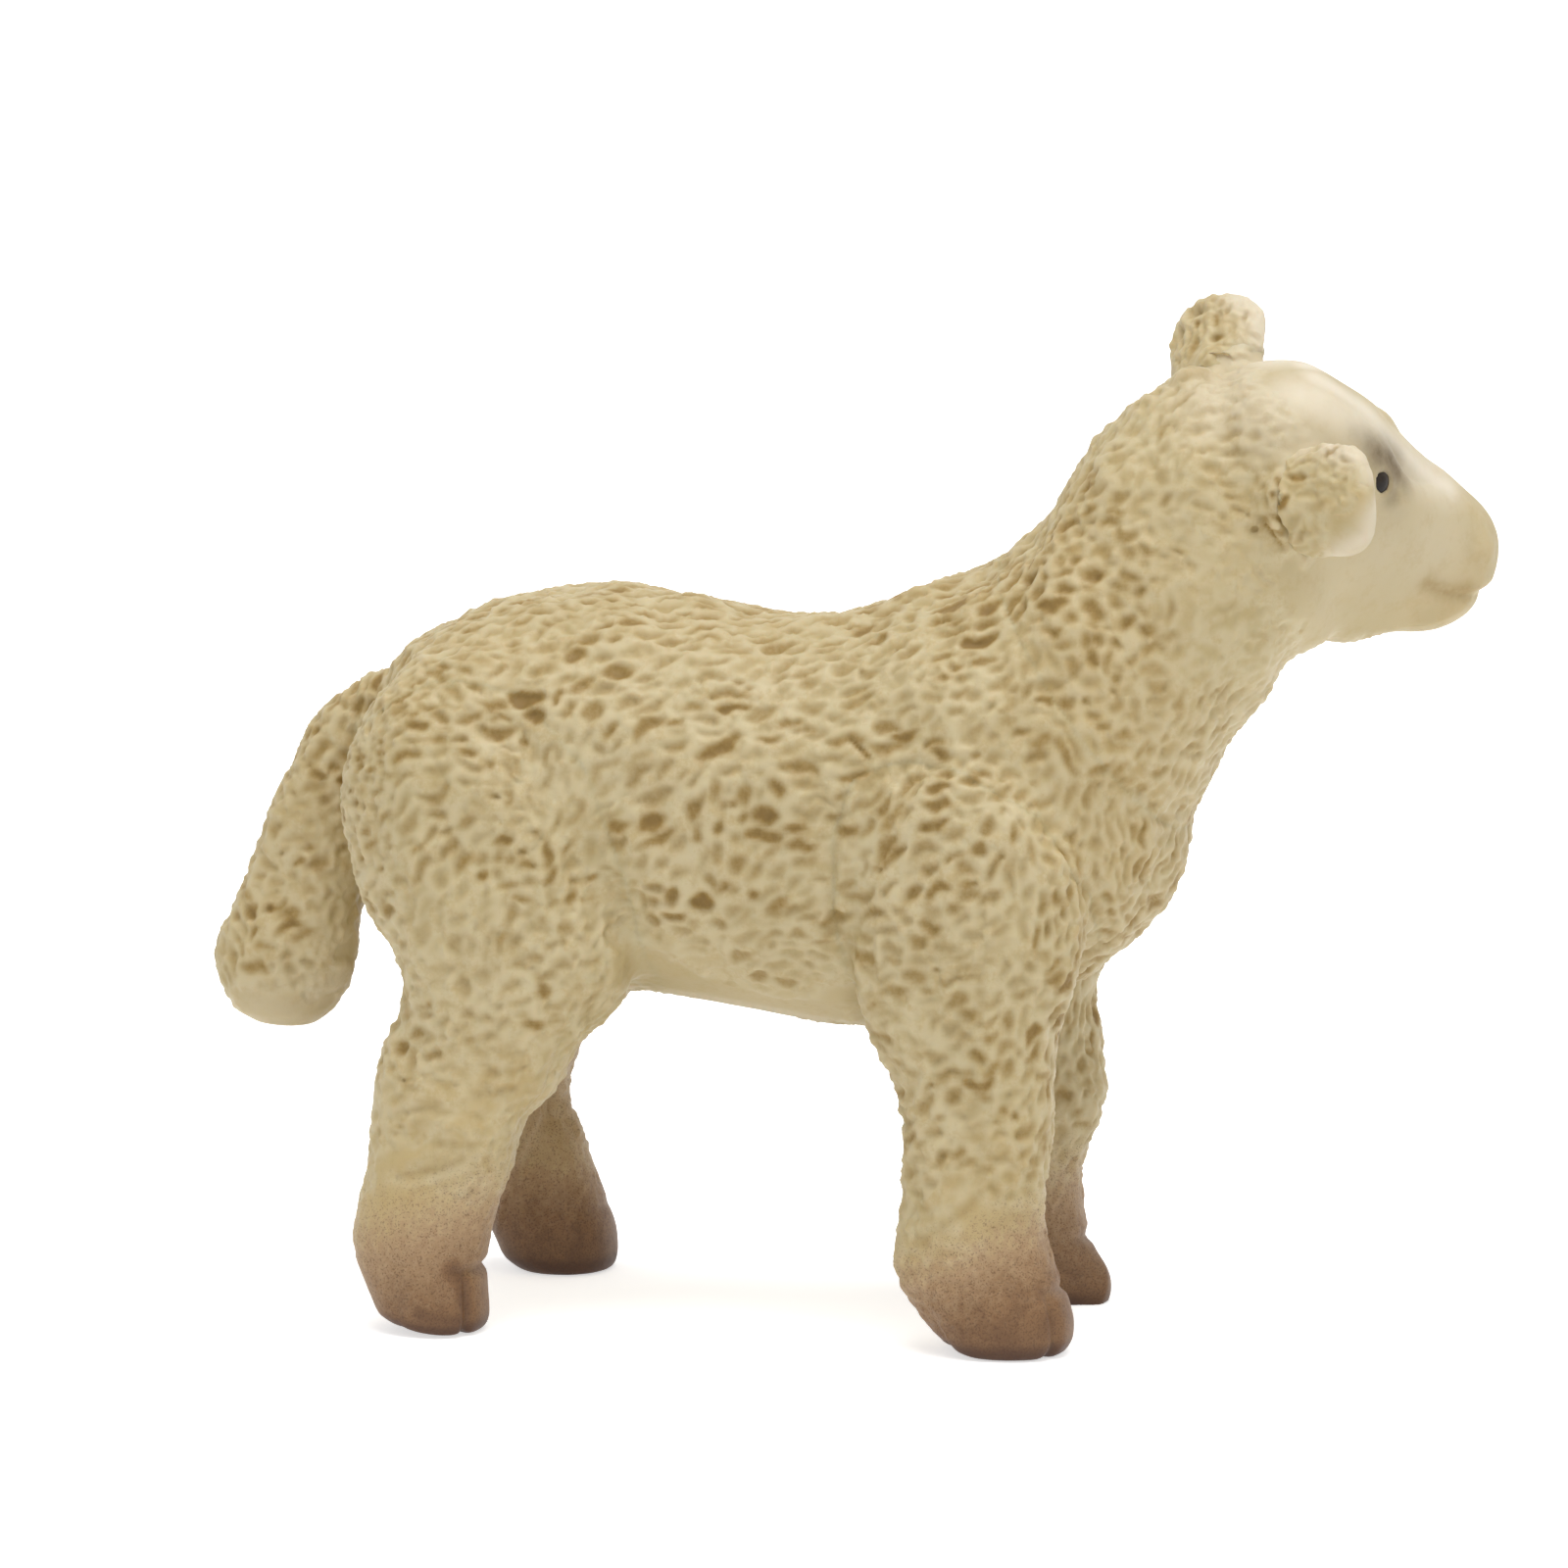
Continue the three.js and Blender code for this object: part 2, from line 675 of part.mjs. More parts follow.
const paints = {
  torso: paint(fleece, 0.62),
  head: paint(face, 0.58),
  ear_right: paint(earColour, 0.6),
  ear_left: paint(earColour, 0.6),
  eye_right: paint(eyeBlack, 0.12),
  eye_left: paint(eyeBlack, 0.12),
  tail: paint(fleece, 0.62),
  leg_front_right: paint(fleece, 0.62),
  leg_front_left: paint(fleece, 0.62),
  leg_hind_right: paint(fleece, 0.62),
  leg_hind_left: paint(fleece, 0.62),
};

function meshOf(name, solid) {
  const data = solid.getMesh();
  const geometry = new THREE.BufferGeometry();
  geometry.setAttribute('position', new THREE.BufferAttribute(data.vertProperties, 3));
  geometry.setIndex(new THREE.BufferAttribute(data.triVerts, 1));
  geometry.computeVertexNormals();
  const mesh = new THREE.Mesh(geometry, paints[name]);
  mesh.name = name;
  return mesh;
}

const lamb = new THREE.Group();
Object.keys(paints).forEach((name) => lamb.add(meshOf(name, pieces.get(name))));

// The origin lies under the middle of the figure, on the ground.
const bounds = new THREE.Box3().setFromObject(lamb);
const middle = bounds.getCenter(new THREE.Vector3());
lamb.position.set(-middle.x, -middle.y, 0);

export default lamb;
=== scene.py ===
"""A moulded and hand painted toy lamb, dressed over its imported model.

The castings of the model are joined to one smooth skin. The skin gets the fleece, the face, the hooves and
the glued seams as modelled relief, and the paint as values kept on its vertices. Then it is parted again into
one closed piece for each casting. Lengths in the sculpting classes are millimetres, and the finished pieces
are in metres. Marks that were read off the photograph are given as its pixels and are cast onto the skin from
where the photograph was taken.
"""

import sys
import logging
import math
from collections.abc import Sequence
from dataclasses import dataclass, field, replace
from enum import Enum

import bmesh
import bpy
import numpy as np
from mathutils import Matrix, Vector
from mathutils.bvhtree import BVHTree


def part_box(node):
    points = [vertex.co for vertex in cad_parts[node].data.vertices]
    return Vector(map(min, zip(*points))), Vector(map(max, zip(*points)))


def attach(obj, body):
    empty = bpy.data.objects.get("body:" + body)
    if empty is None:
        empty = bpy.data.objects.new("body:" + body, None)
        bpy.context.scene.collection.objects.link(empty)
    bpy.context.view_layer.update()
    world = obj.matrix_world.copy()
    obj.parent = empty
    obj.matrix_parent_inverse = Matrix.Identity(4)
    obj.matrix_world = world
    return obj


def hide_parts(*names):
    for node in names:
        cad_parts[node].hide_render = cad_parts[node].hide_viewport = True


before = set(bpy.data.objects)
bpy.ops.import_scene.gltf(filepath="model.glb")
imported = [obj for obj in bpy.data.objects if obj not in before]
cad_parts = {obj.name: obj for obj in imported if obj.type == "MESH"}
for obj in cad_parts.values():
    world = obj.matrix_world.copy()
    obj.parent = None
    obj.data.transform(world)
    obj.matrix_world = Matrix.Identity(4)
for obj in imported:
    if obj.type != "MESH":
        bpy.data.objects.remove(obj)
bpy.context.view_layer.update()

log = logging.getLogger("lamb")

MM = 0.001
BODY = "root"
SEED = 41
EYES = ("eye_right", "eye_left")
WHITE = (1.0, 1.0, 1.0, 1.0)

# The share of its size with which each ear fills its root under the skin of the head.
EAR_PLUG_SHARES = {"ear_right": 0.7, "ear_left": 0.6}

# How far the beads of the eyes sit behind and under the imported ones.
EYE_BACK, EYE_DROP = 0.34, 0.06

# The wave length at which strokes, seams and legs are uneven.
ROUGH_WAVE = 0.35

# What is left of the stain in the pits of the neck and the legs, and in those of the head.
PALE_SHARE, HEAD_PALE_SHARE = 0.85, 0.62

# About how many distances a stroke works out at once.
BLOCK = 2_000_000

Array = np.ndarray
Pixel = tuple[float, float]
Span = tuple[float, float]
Colour = tuple[float, float, float]
Marks = tuple[tuple[float, ...], ...]


class Slot(Enum):
    """The material slots, which name the finishes of the castings."""

    FLEECE = "fleece"
    HEAD = "head"
    EAR = "ear"
    LEG = "leg"
    EYE = "eye"


class Channel(Enum):
    """The paints that are kept on the vertices of the skin."""

    WASH = "wash"
    WARM = "warm"
    # White of the face, also painted light on the brow's rim, the cheeks and the tail's tip.
    CHALK = "chalk"
    # Grey spray round the eyes, partly painted shade beside them.
    SMOKE = "smoke"
    # Brown spray of the hooves, on the far hind leg partly painted shade.
    DUST = "dust"
    # Painted highlight: paler paint along the crests of the wool.
    RIDGE = "ridge"


def unit(vector: Array) -> Array:
    """Scales a vector, or each row of an array, to length one."""
    return vector / np.maximum(np.linalg.norm(vector, axis=-1, keepdims=True), 1e-12)


def smooth_step(low: float, high: float, value: Array) -> Array:
    """Runs from 0 at low to 1 at high with level ends.

    Args:
        low: The value that gives 0.
        high: The value that gives 1. It may be the smaller one.
        value: The values to read.

    Returns:
        The eased values.
    """
    share = np.clip((value - low) / (high - low), 0.0, 1.0)
    return share * share * (3.0 - 2.0 * share)


def flattened(way: Array, normal: Array) -> Array:
    """Turns a direction into the plane across a normal, at length one."""
    return unit(way - (way @ normal) * normal)


def linear(colour: Colour) -> tuple[float, ...]:
    """Turns a colour in screen levels of 0 to 255 into the linear colour that a shader takes."""
    parts = [level / 255.0 for level in colour]
    parts = [part / 12.92 if part <= 0.04045 else ((part + 0.055) / 1.055) ** 2.4 for part in parts]
    return (*parts, 1.0)


@dataclass(frozen=True)
class PhotoView:
    """Where the photograph was taken from, and how its pixels lie over the lamb.

    Attributes:
        azimuth, elevation: The angles of the view in degrees.
        distance: How far the lens stands from the target.
        pixels_per_mm: The scale at the depth of the target.
        frame_pixels: The side of the photograph.
        target, target_pixel: A point in the middle between the flanks, and the pixel that it falls on.
        sensor: The width of the camera's sensor.
        clip: How many times nearer and farther than the target the camera sees.
    """

    azimuth: float = 13.0
    elevation: float = 8.5
    distance: float = 500.0
    pixels_per_mm: float = 26.8
    frame_pixels: float = 1600.0
    target: tuple[float, float, float] = (0.856, -0.377, 20.3)
    target_pixel: Pixel = (873.0, 807.0)
    sensor: float = 36.0
    clip: float = 50.0

    def axes(self) -> Array:
        """Gives the directions to the right, up and back of the view as rows."""
        turn, rise = math.radians(self.azimuth), math.radians(self.elevation)
        return np.array([
            [math.cos(turn), math.sin(turn), 0.0],
            [-math.sin(turn) * math.sin(rise), math.cos(turn) * math.sin(rise), math.cos(rise)],
            [math.sin(turn) * math.cos(rise), -math.cos(turn) * math.cos(rise), math.sin(rise)],
        ])

    def offset(self, pixel: Pixel) -> tuple[float, float]:
        """Gives how far a pixel lies to the right of the middle and above it, at the depth of the target."""
        middle = self.frame_pixels / 2
        return (pixel[0] - middle) / self.pixels_per_mm, (middle - pixel[1]) / self.pixels_per_mm

    def eye(self) -> Array:
        """Gives the place of the lens, set off so that the target falls on its pixel."""
        right, up, back = self.axes()
        across, above = self.offset(self.target_pixel)
        return np.array(self.target) - across * right - above * up + self.distance * back

    def ray(self, pixel: Pixel) -> Array:
        """Gives the direction in which the lens sees a pixel."""
        right, up, back = self.axes()
        across, above = self.offset(pixel)
        return unit(across * right + above * up - self.distance * back)

    def place_camera(self) -> None:
        """Makes the scene's camera."""
        data = bpy.data.cameras.new("photo_camera")
        data.sensor_width = self.sensor
        data.lens = self.sensor * self.distance * self.pixels_per_mm / self.frame_pixels
        data.clip_start = self.distance * MM / self.clip
        data.clip_end = self.distance * MM * self.clip
        camera = bpy.data.objects.new("photo_camera", data)
        turned = Matrix([Vector(axis) for axis in self.axes()]).transposed().to_4x4()
        camera.matrix_world = Matrix.Translation(Vector(self.eye()) * MM) @ turned
        bpy.context.scene.collection.objects.link(camera)
        bpy.context.scene.camera = camera


def around(faces: Array) -> tuple[Array, Array]:
    """Lists the two ends of every side of every face."""
    return faces.ravel(), np.roll(faces, -1, axis=1).ravel()


def spread(points: Array, faces: Array) -> Array:
    """Gives at each vertex the mean of its neighbours' rows.

    Args:
        points: The rows, one a vertex.
        faces: The quads of the closed mesh.

    Returns:
        The mean rows.
    """
    here, there = around(faces)
    degree = np.bincount(here, minlength=len(points))
    columns = [np.bincount(here, weights=column[there], minlength=len(points)) for column in points.T]
    return np.stack(columns, axis=1) / degree[:, None]


def vertex_normals(points: Array, faces: Array) -> Array:
    """Gives the outward direction at each vertex of a mesh of quads."""
    corners = points[faces]
    flat = np.cross(corners[:, 2] - corners[:, 0], corners[:, 3] - corners[:, 1])
    total = np.zeros_like(points)
    for corner in range(4):
        for axis in range(3):
            total[:, axis] += np.bincount(faces[:, corner], weights=flat[:, axis], minlength=len(points))
    return unit(total)


class Cells:
    """Points sorted into cubes, so that those near a place are found fast."""

    def __init__(self, points: Array, size: float) -> None:
        """Sorts the points.

        Args:
            points: The places, one a row.
            size: The side of a cube.
        """
        self.points = points
        self.size = size
        cubes = np.floor(points / size).astype(np.int64)
        self.low = cubes.min(axis=0) - 2
        self.span = cubes.max(axis=0) - self.low + 3
        keys = self.flatten(cubes)
        self.order = np.argsort(keys, kind="stable")
        self.keys = keys[self.order]

    def flatten(self, cubes: Array) -> Array:
        """Gives each cube one number, which runs on from cube to cube upwards."""
        moved = cubes - self.low
        return (moved[..., 0] * self.span[1] + moved[..., 1]) * self.span[2] + moved[..., 2]

    def near(self, centre: Array, reach: float) -> Array:
        """Finds the points within reach of a place.

        Args:
            centre: The place.
            reach: The greatest distance.

        Returns:
            The numbers of the points.
        """
        first = np.maximum(np.floor((centre - reach) / self.size).astype(np.int64), self.low)
        last = np.minimum(np.floor((centre + reach) / self.size).astype(np.int64), self.low + self.span - 1)
        across, deep = np.meshgrid(
            np.arange(first[0], last[0] + 1), np.arange(first[1], last[1] + 1), indexing="ij"
        )
        columns = np.stack([across.ravel(), deep.ravel(), np.full(across.size, first[2])], axis=1)
        lows = self.flatten(columns)
        starts = np.searchsorted(self.keys, lows)
        stops = np.searchsorted(self.keys, lows + last[2] - first[2] + 1)
        runs = [self.order[start:stop] for start, stop in zip(starts, stops) if stop > start]
        if not runs:
            return np.zeros(0, dtype=int)
        near = np.concatenate(runs)
        gaps = self.points[near] - centre
        return near[np.einsum("ij,ij->i", gaps, gaps) < reach * reach]


class Ripple:
    """A smooth random value over space, as a sum of waves in many directions."""

    def __init__(self, wave: float, seed: int, waves: int = 14) -> None:
        """Draws the waves.

        Args:
            wave: The middle wave length.
            seed: The start of the random draws.
            waves: How many waves are summed.
        """
        draw = np.random.default_rng(seed)
        lengths = wave * draw.uniform(0.6, 1.6, waves)
        self.ways = unit(draw.normal(size=(waves, 3))) * (2 * math.pi / lengths)[:, None]
        self.starts = draw.uniform(0.0, 2 * math.pi, waves)
        self.share = math.sqrt(2.0 / waves)

    def at(self, points: Array) -> Array:
        """Reads the value at each point, mostly between -1.5 and 1.5."""
        return np.sin(points @ self.ways.T + self.starts).sum(axis=1) * self.share


def mesh_of(name: str, points: Array, quads: Array, threes: Array) -> bpy.types.Mesh:
    """Makes a mesh of quads and triangles."""
    mesh = bpy.data.meshes.new(name)
    mesh.vertices.add(len(points))
    mesh.vertices.foreach_set("co", points.ravel())
    mesh.loops.add(quads.size + threes.size)
    mesh.loops.foreach_set("vertex_index", np.concatenate([quads.ravel(), threes.ravel()]))
    mesh.polygons.add(len(quads) + len(threes))
    starts = [4 * np.arange(len(quads)), quads.size + 3 * np.arange(len(threes))]
    mesh.polygons.foreach_set("loop_start", np.concatenate(starts))
    mesh.update(calc_edges=True)
    return mesh


def linked(name: str, mesh: bpy.types.Mesh) -> bpy.types.Object:
    """Puts a mesh into the scene as an object."""
    made = bpy.data.objects.new(name, mesh)
    bpy.context.scene.collection.objects.link(made)
    return made


def modified(mesh: bpy.types.Mesh, kind: str, **settings: float | str) -> bpy.types.Mesh:
    """Applies one modifier to a mesh.

    Args:
        mesh: The mesh, which is removed.
        kind: The type of the modifier.
        **settings: Its settings by name.

    Returns:
        The changed copy.
    """
    scratch = linked("scratch", mesh)
    modifier = scratch.modifiers.new("shaping", kind)
    for name, value in settings.items():
        setattr(modifier, name, value)
    graph = bpy.context.evaluated_depsgraph_get()
    made = bpy.data.meshes.new_from_object(scratch.evaluated_get(graph), depsgraph=graph)
    bpy.data.objects.remove(scratch)
    bpy.data.meshes.remove(mesh)
    return made


def patches(quads: Array, count: int) -> Array:
    """Finds the vertices that hang together.

    Args:
        quads: The faces that join them.
        count: The number of vertices.

    Returns:
        For each vertex the lowest number in its patch.
    """
    label = np.arange(count)
    while True:
        least = label[quads].min(axis=1)
        fresh = label.copy()
        for corner in range(4):
            np.minimum.at(fresh, quads[:, corner], least)
        fresh = fresh[fresh]
        if np.array_equal(fresh, label):
            return label
        label = fresh


@dataclass
class Skin:
    """The whole outside of the lamb as one closed mesh of quads, with relief and paint on its vertices.

    Attributes:
        points, faces: The vertices and the quads.
        gaps: The distance of each vertex to each casting.
        names: The castings, in the order of the columns of gaps.
        rough: The random value of each vertex that breaks up strokes and seams.
        cell: The side of the cubes that the vertices are sorted into.
        rival: How much nearer a third casting lies where a seam ends.
        away: What stands for far from a seam.
        lift, paint: The relief and the paint of each vertex.
        normals, cells, tree: The directions of the vertices, and what finds them by place and by ray.
    """

    points: Array
    faces: Array
    gaps: Array
    names: list[str]
    rough: Array
    cell: float = 0.8
    rival: float = 0.4
    away: float = 99.0
    lift: Array = field(init=False)
    paint: dict[Channel, Array] = field(init=False)
    normals: Array = field(init=False)
    cells: Cells = field(init=False)
    tree: BVHTree = field(init=False)

    def __post_init__(self) -> None:
        """Works out what every carving method reads."""
        self.lift = np.zeros(len(self.points))
        self.paint = {channel: np.zeros(len(self.points)) for channel in Channel}
        self.normals = vertex_normals(self.points, self.faces)
        self.cells = Cells(self.points, self.cell)
        self.tree = BVHTree.FromPolygons(self.points.tolist(), self.faces.tolist())

    def owner(self) -> Array:
        """Gives the number of the casting that each vertex lies nearest to."""
        return np.argmin(self.gaps, axis=1)

    def seam(self, one: str, other: str) -> Array:
        """Gives how far each vertex lies from the line between two castings.

        Args:
            one: The one casting.
            other: The other.

        Returns:
            The distances, which grow with the depth of the line and are large where a third casting is near.
        """
        first, second = self.names.index(one), self.names.index(other)
        rest = np.delete(self.gaps, [first, second], axis=1)
        mine = np.minimum(self.gaps[:, first], self.gaps[:, second])
        apart = np.abs(self.gaps[:, first] - self.gaps[:, second])
        return np.where(rest.min(axis=1) + self.rival < mine, self.away, apart + 0.5 * mine)

    def press(self) -> None:
        """Moves the vertices by the relief, though not through the floor, and starts a new one."""
        self.points = self.points + self.normals * self.lift[:, None]
        self.points[:, 2] = np.maximum(self.points[:, 2], 0.0)
        self.lift = np.zeros(len(self.points))
        self.normals = vertex_normals(self.points, self.faces)


@dataclass(frozen=True)
class SkinMaker:
    """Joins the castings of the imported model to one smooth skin.

    Attributes:
        swell: How far the castings are blown up, so that the glue gaps between them close.
        cell: The side of a face of the first skin. The finished skin has faces half as wide.
        rounds: How often the first skin is smoothed.
        relax, swell_back: The two steps of a smoothing round, which together keep the volume.
        weld: How near two corners of a casting lie that are joined, in metres.
        far: The largest distance to a casting that is kept.
        search: How far a casting is looked for.
        seed: The start of the random draws for the unevenness.
    """

    swell: float = 0.2
    cell: float = 0.26
    rounds: int = 26
    relax: float = 0.5
    swell_back: float = -0.515
    weld: float = 1e-6
    far: float = 4.0
    search: float = 60.0
    seed: int = SEED + 2

    def casting(self, name: str, size_share: float = 1.0) -> bmesh.types.BMesh:
        """Copies one casting in millimetres with its doubled corners joined.

        Args:
            name: The node.
            size_share: The share of its size that is kept, measured from where it lies deepest in the head.

        Returns:
            The copy.
        """
        shell = bmesh.new()
        shell.from_mesh(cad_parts[name].data)
        bmesh.ops.remove_doubles(shell, verts=shell.verts, dist=self.weld)
        bmesh.ops.scale(shell, vec=Vector((1 / MM,) * 3), verts=shell.verts)
        if size_share < 1.0:
            deep = Vector(Face().origin)
            corners = [vertex.co.copy() for vertex in shell.verts]
            anchor = min(corners, key=lambda corner: (corner - deep).length)
            for vertex in shell.verts:
                vertex.co = anchor + (vertex.co - anchor) * size_share
        bmesh.ops.triangulate(shell, faces=shell.faces)
        shell.normal_update()
        return shell

    def largest(self, points: Array, faces: Array) -> tuple[Array, Array]:
        """Keeps the largest connected shell, so that the hidden hollows round the pegs go.

        Args:
            points: The vertices.
            faces: The quads.

        Returns:
            The vertices and quads of the outer shell.
        """
        label = patches(faces, len(points))
        kept = label == np.argmax(np.bincount(label))
        place = np.cumsum(kept) - 1
        return points[kept], place[faces[kept[faces[:, 0]]]]

    def make(self, names: list[str], plug_shares: dict[str, float] | None = None) -> Skin:
        """Makes the skin over the named castings.

        Args:
            names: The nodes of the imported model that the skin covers.
            plug_shares: Other nodes that fill a socket and get no share of the skin, with how much of their
                size is kept.

        Returns:
            The skin, with the distance of each vertex to each casting.
        """
        shells = [self.casting(name) for name in names]
        trees = [BVHTree.FromBMesh(shell) for shell in shells]
        shells += [self.casting(name, share) for name, share in (plug_shares or {}).items()]
        joined = bmesh.new()
        for shell in shells:
            for vertex in shell.verts:
                vertex.co += vertex.normal * self.swell
            swollen = bpy.data.meshes.new("swollen")
            shell.to_mesh(swollen)
            joined.from_mesh(swollen)
            bpy.data.meshes.remove(swollen)
            shell.free()
        mesh = bpy.data.meshes.new("joined")
        joined.to_mesh(mesh)
        joined.free()
        rough = modified(mesh, "REMESH", mode="VOXEL", voxel_size=self.cell)
        points, faces = self.largest(*self.arrays(rough))
        bpy.data.meshes.remove(rough)
        points = self.smoothed(points, faces)
        gaps = np.array([[tree.find_nearest(Vector(p), self.search)[3] for tree in trees] for p in points])
        return self.refined(points, faces, np.minimum(gaps, self.far), names)

    def arrays(self, mesh: bpy.types.Mesh) -> tuple[Array, Array]:
        """Reads the vertices and quads of a mesh, which must have nothing but quads."""
        points = np.zeros(len(mesh.vertices) * 3)
        mesh.vertices.foreach_get("co", points)
        sides = np.zeros(len(mesh.polygons), dtype=int)
        mesh.polygons.foreach_get("loop_total", sides)
        corners = np.zeros(len(mesh.loops), dtype=int)
        mesh.loops.foreach_get("vertex_index", corners)
        if not (sides == 4).all():
            raise ValueError("the skin has faces that aren't quads")
        return points.reshape(-1, 3), corners.reshape(-1, 4)

    def smoothed(self, points: Array, faces: Array) -> Array:
        """Takes the facets and the seam notches out and brings the skin back to its size.

        Args:
            points: The vertices.
            faces: The quads.

        Returns:
            The vertices in their new places.
        """
        for step in [self.relax, self.swell_back] * self.rounds:
            points = points + step * (spread(points, faces) - points)
        return points - self.swell * vertex_normals(points, faces)

    def refined(self, points: Array, faces: Array, gaps: Array, names: list[str]) -> Skin:
        """Splits each face in four on a smooth surface, with the distances carried along.

        Args:
            points: The vertices.
            faces: The quads.
            gaps: The distance of each vertex to each casting.
            names: The castings.

        Returns:
            The finished skin.
        """
        mesh = mesh_of("first_skin", points, faces, faces[:0, :3])
        for name, column in zip(names, gaps.T):
            mesh.attributes.new(name, "FLOAT", "POINT").data.foreach_set("value", column)
        fine = modified(mesh, "SUBSURF", levels=1, render_levels=1)
        points, faces = self.arrays(fine)
        columns = np.zeros((len(names), len(points)))
        for name, column in zip(names, columns):
            fine.attributes[name].data.foreach_get("value", column)
        bpy.data.meshes.remove(fine)
        rough = Ripple(ROUGH_WAVE, self.seed).at(points)
        return Skin(points, faces, np.ascontiguousarray(columns.T), list(names), rough)


@dataclass
class Face:
    """The middle plane of the head, worked out from the two eyes and the tip of the nose.

    Attributes:
        reach: How far from between the eyes that plane mirrors, and not the body's.
    """

    reach: float = 10.0

    def __post_init__(self) -> None:
        """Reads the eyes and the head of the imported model."""
        self.right_eye, self.left_eye = (self.middle(name) for name in ("eye_right", "eye_left"))
        self.origin = (self.right_eye + self.left_eye) / 2
        self.left = unit(self.left_eye - self.right_eye)
        head = np.array([vertex.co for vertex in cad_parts["head"].data.vertices]) / MM
        torso = self.middle("torso")
        self.nose = head[np.argmax(np.linalg.norm(head - torso, axis=1))]
        self.along = flattened(self.nose - self.origin, self.left)
        self.rise = np.cross(self.along, self.left)

    @staticmethod
    def middle(name: str) -> Array:
        """Gives the middle of a node's box in millimetres."""
        low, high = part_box(name)
        return (np.array(low) + np.array(high)) / (2 * MM)

    def measures(self, points: Array) -> tuple[Array, Array, Array]:
        """Gives the distances of points to the nose, to the left and to the crown from between the eyes."""
        gaps = points - self.origin
        return gaps @ self.along, gaps @ self.left, gaps @ self.rise

    def mirrored(self, points: Array, ways: bool = False) -> Array:
        """Reflects points or directions to the other side of the lamb.

        Args:
            points: The points, or the directions.
            ways: Whether they are directions of the head.

        Returns:
            The reflected rows. Those near the face use the plane of the head, the others that of the body.
        """
        body = points * np.array([1.0, -1.0, 1.0])
        start = np.zeros(3) if ways else self.origin
        head = points - 2 * ((points - start) @ self.left)[:, None] * self.left
        if ways:
            return head
        near = np.linalg.norm(points - self.origin, axis=1) < self.reach
        return np.where(near[:, None], head, body)


@dataclass
class Caster:
    """Casts pixels of the photograph onto the skin.

    Attributes:
        skin: The skin.
        view: Where the photograph was taken from.
        face: The plane of the head.
        close: How near a place the first hit of its ray lies where the photograph shows it.
    """

    skin: Skin
    view: PhotoView
    face: Face
    close: float = 0.3

    def hit(self, pixel: Pixel) -> tuple[Array, Array] | None:
        """Finds where a pixel falls on the skin.

        Args:
            pixel: The pixel of the photograph.

        Returns:
            The place and the outward direction there, or None beside the lamb.
        """
        place, normal, _, _ = self.skin.tree.ray_cast(Vector(self.view.eye()), Vector(self.view.ray(pixel)))
        if place is None:
            return None
        return np.array(place), np.array(normal)

    def beside(self, pixel: Pixel) -> Array:
        """Gives the vertex that is seen nearest to a pixel, also where the pixel misses the skin."""
        gaps = np.cross(self.skin.points - self.view.eye(), self.view.ray(pixel))
        return self.skin.points[np.argmin((gaps**2).sum(axis=1))]

    def sees(self, place: Array) -> bool:
        """Tells whether the photograph shows a place of the skin."""
        eye = self.view.eye()
        first = self.skin.tree.ray_cast(Vector(eye), Vector(unit(place - eye)))[0]
        return first is not None and float(np.linalg.norm(np.array(first) - place)) < self.close

    def snap(self, points: Array) -> Array:
        """Moves points to the nearest place of the skin."""
        return np.array([self.skin.tree.find_nearest(Vector(point))[0] for point in points])

    def path(self, pixels: Sequence[Pixel], step: float = 2.5) -> Array:
        """Casts a bent line through pixels.

        Args:
            pixels: The corners of the line.
            step: The pixels from one cast to the next.

        Returns:
            The places on the skin, in order.
        """
        corners = np.array(pixels, dtype=float)
        lengths = np.r_[0.0, np.cumsum(np.linalg.norm(np.diff(corners, axis=0), axis=1))]
        places = np.linspace(0.0, lengths[-1], max(2, int(lengths[-1] / step)))
        line = np.stack([np.interp(places, lengths, corners[:, axis]) for axis in range(2)], axis=1)
        hits = [self.hit((float(across), float(down))) for across, down in line]
        return np.array([hit[0] for hit in hits if hit is not None])


@dataclass(frozen=True)
class Stroke:
    """A groove, a ridge or a spray of paint along a line of the photograph.

    Attributes:
        pixels: The line.
        width: Half the width, where the profile has fallen to a third.
        lift: The height of the middle over the skin, below zero for a groove.
        paint: How much of the paint is laid on the middle.
        channel: The paint.
        mirror: Whether the other side of the lamb has it too.
        grain: How much the line breaks up, from 0 to 1.
        finest: The least number of pixels from one cast to the next.
        reach: How many widths from the line it is worked out.
        end_share: How much of the height of a carved line is left at its ends.
    """

    pixels: tuple[Pixel, ...]
    width: float
    lift: float = 0.0
    paint: float = 0.0
    channel: Channel = Channel.WASH
    mirror: bool = True
    grain: float = 0.0
    finest: float = 2.5
    reach: float = 2.6
    end_share: float = 0.25

    def lay(self, caster: Caster) -> None:
        """Carves and paints the stroke.

        Args:
            caster: What casts the line.
        """
        step = max(self.finest, self.width * caster.view.pixels_per_mm / 4)
        line = caster.path(self.pixels, step)
        if not len(line):
            return
        self.lay_line(caster.skin, line)
        if self.mirror:
            self.lay_line(caster.skin, caster.snap(caster.face.mirrored(line)))

    def lay_line(self, skin: Skin, places: Array) -> None:
        """Carves and paints along a line of places on the skin."""
        reach = self.reach * self.width
        low, high = places.min(axis=0) - reach, places.max(axis=0) + reach
        near = np.flatnonzero(((skin.points > low) & (skin.points < high)).all(axis=1))
        if not len(near):
            return
        taper = np.minimum(1.0, self.end_share + 1.5 * np.sin(np.linspace(0.0, math.pi, len(places))))
        share = taper if self.lift else np.ones(len(places))
        falls = []
        for block in np.array_split(skin.points[near], 1 + len(near) * len(places) // BLOCK):
            gap = ((block[:, None] - places) ** 2).sum(axis=2)
            falls.append((share * np.exp(-gap / self.width**2)).max(axis=1))
        best = np.concatenate(falls) * (1.0 - self.grain * smooth_step(-0.4, 0.9, skin.rough[near]))
        skin.lift[near] += self.lift * best
        channel = skin.paint[self.channel]
        channel[near] = np.maximum(channel[near], self.paint * best)


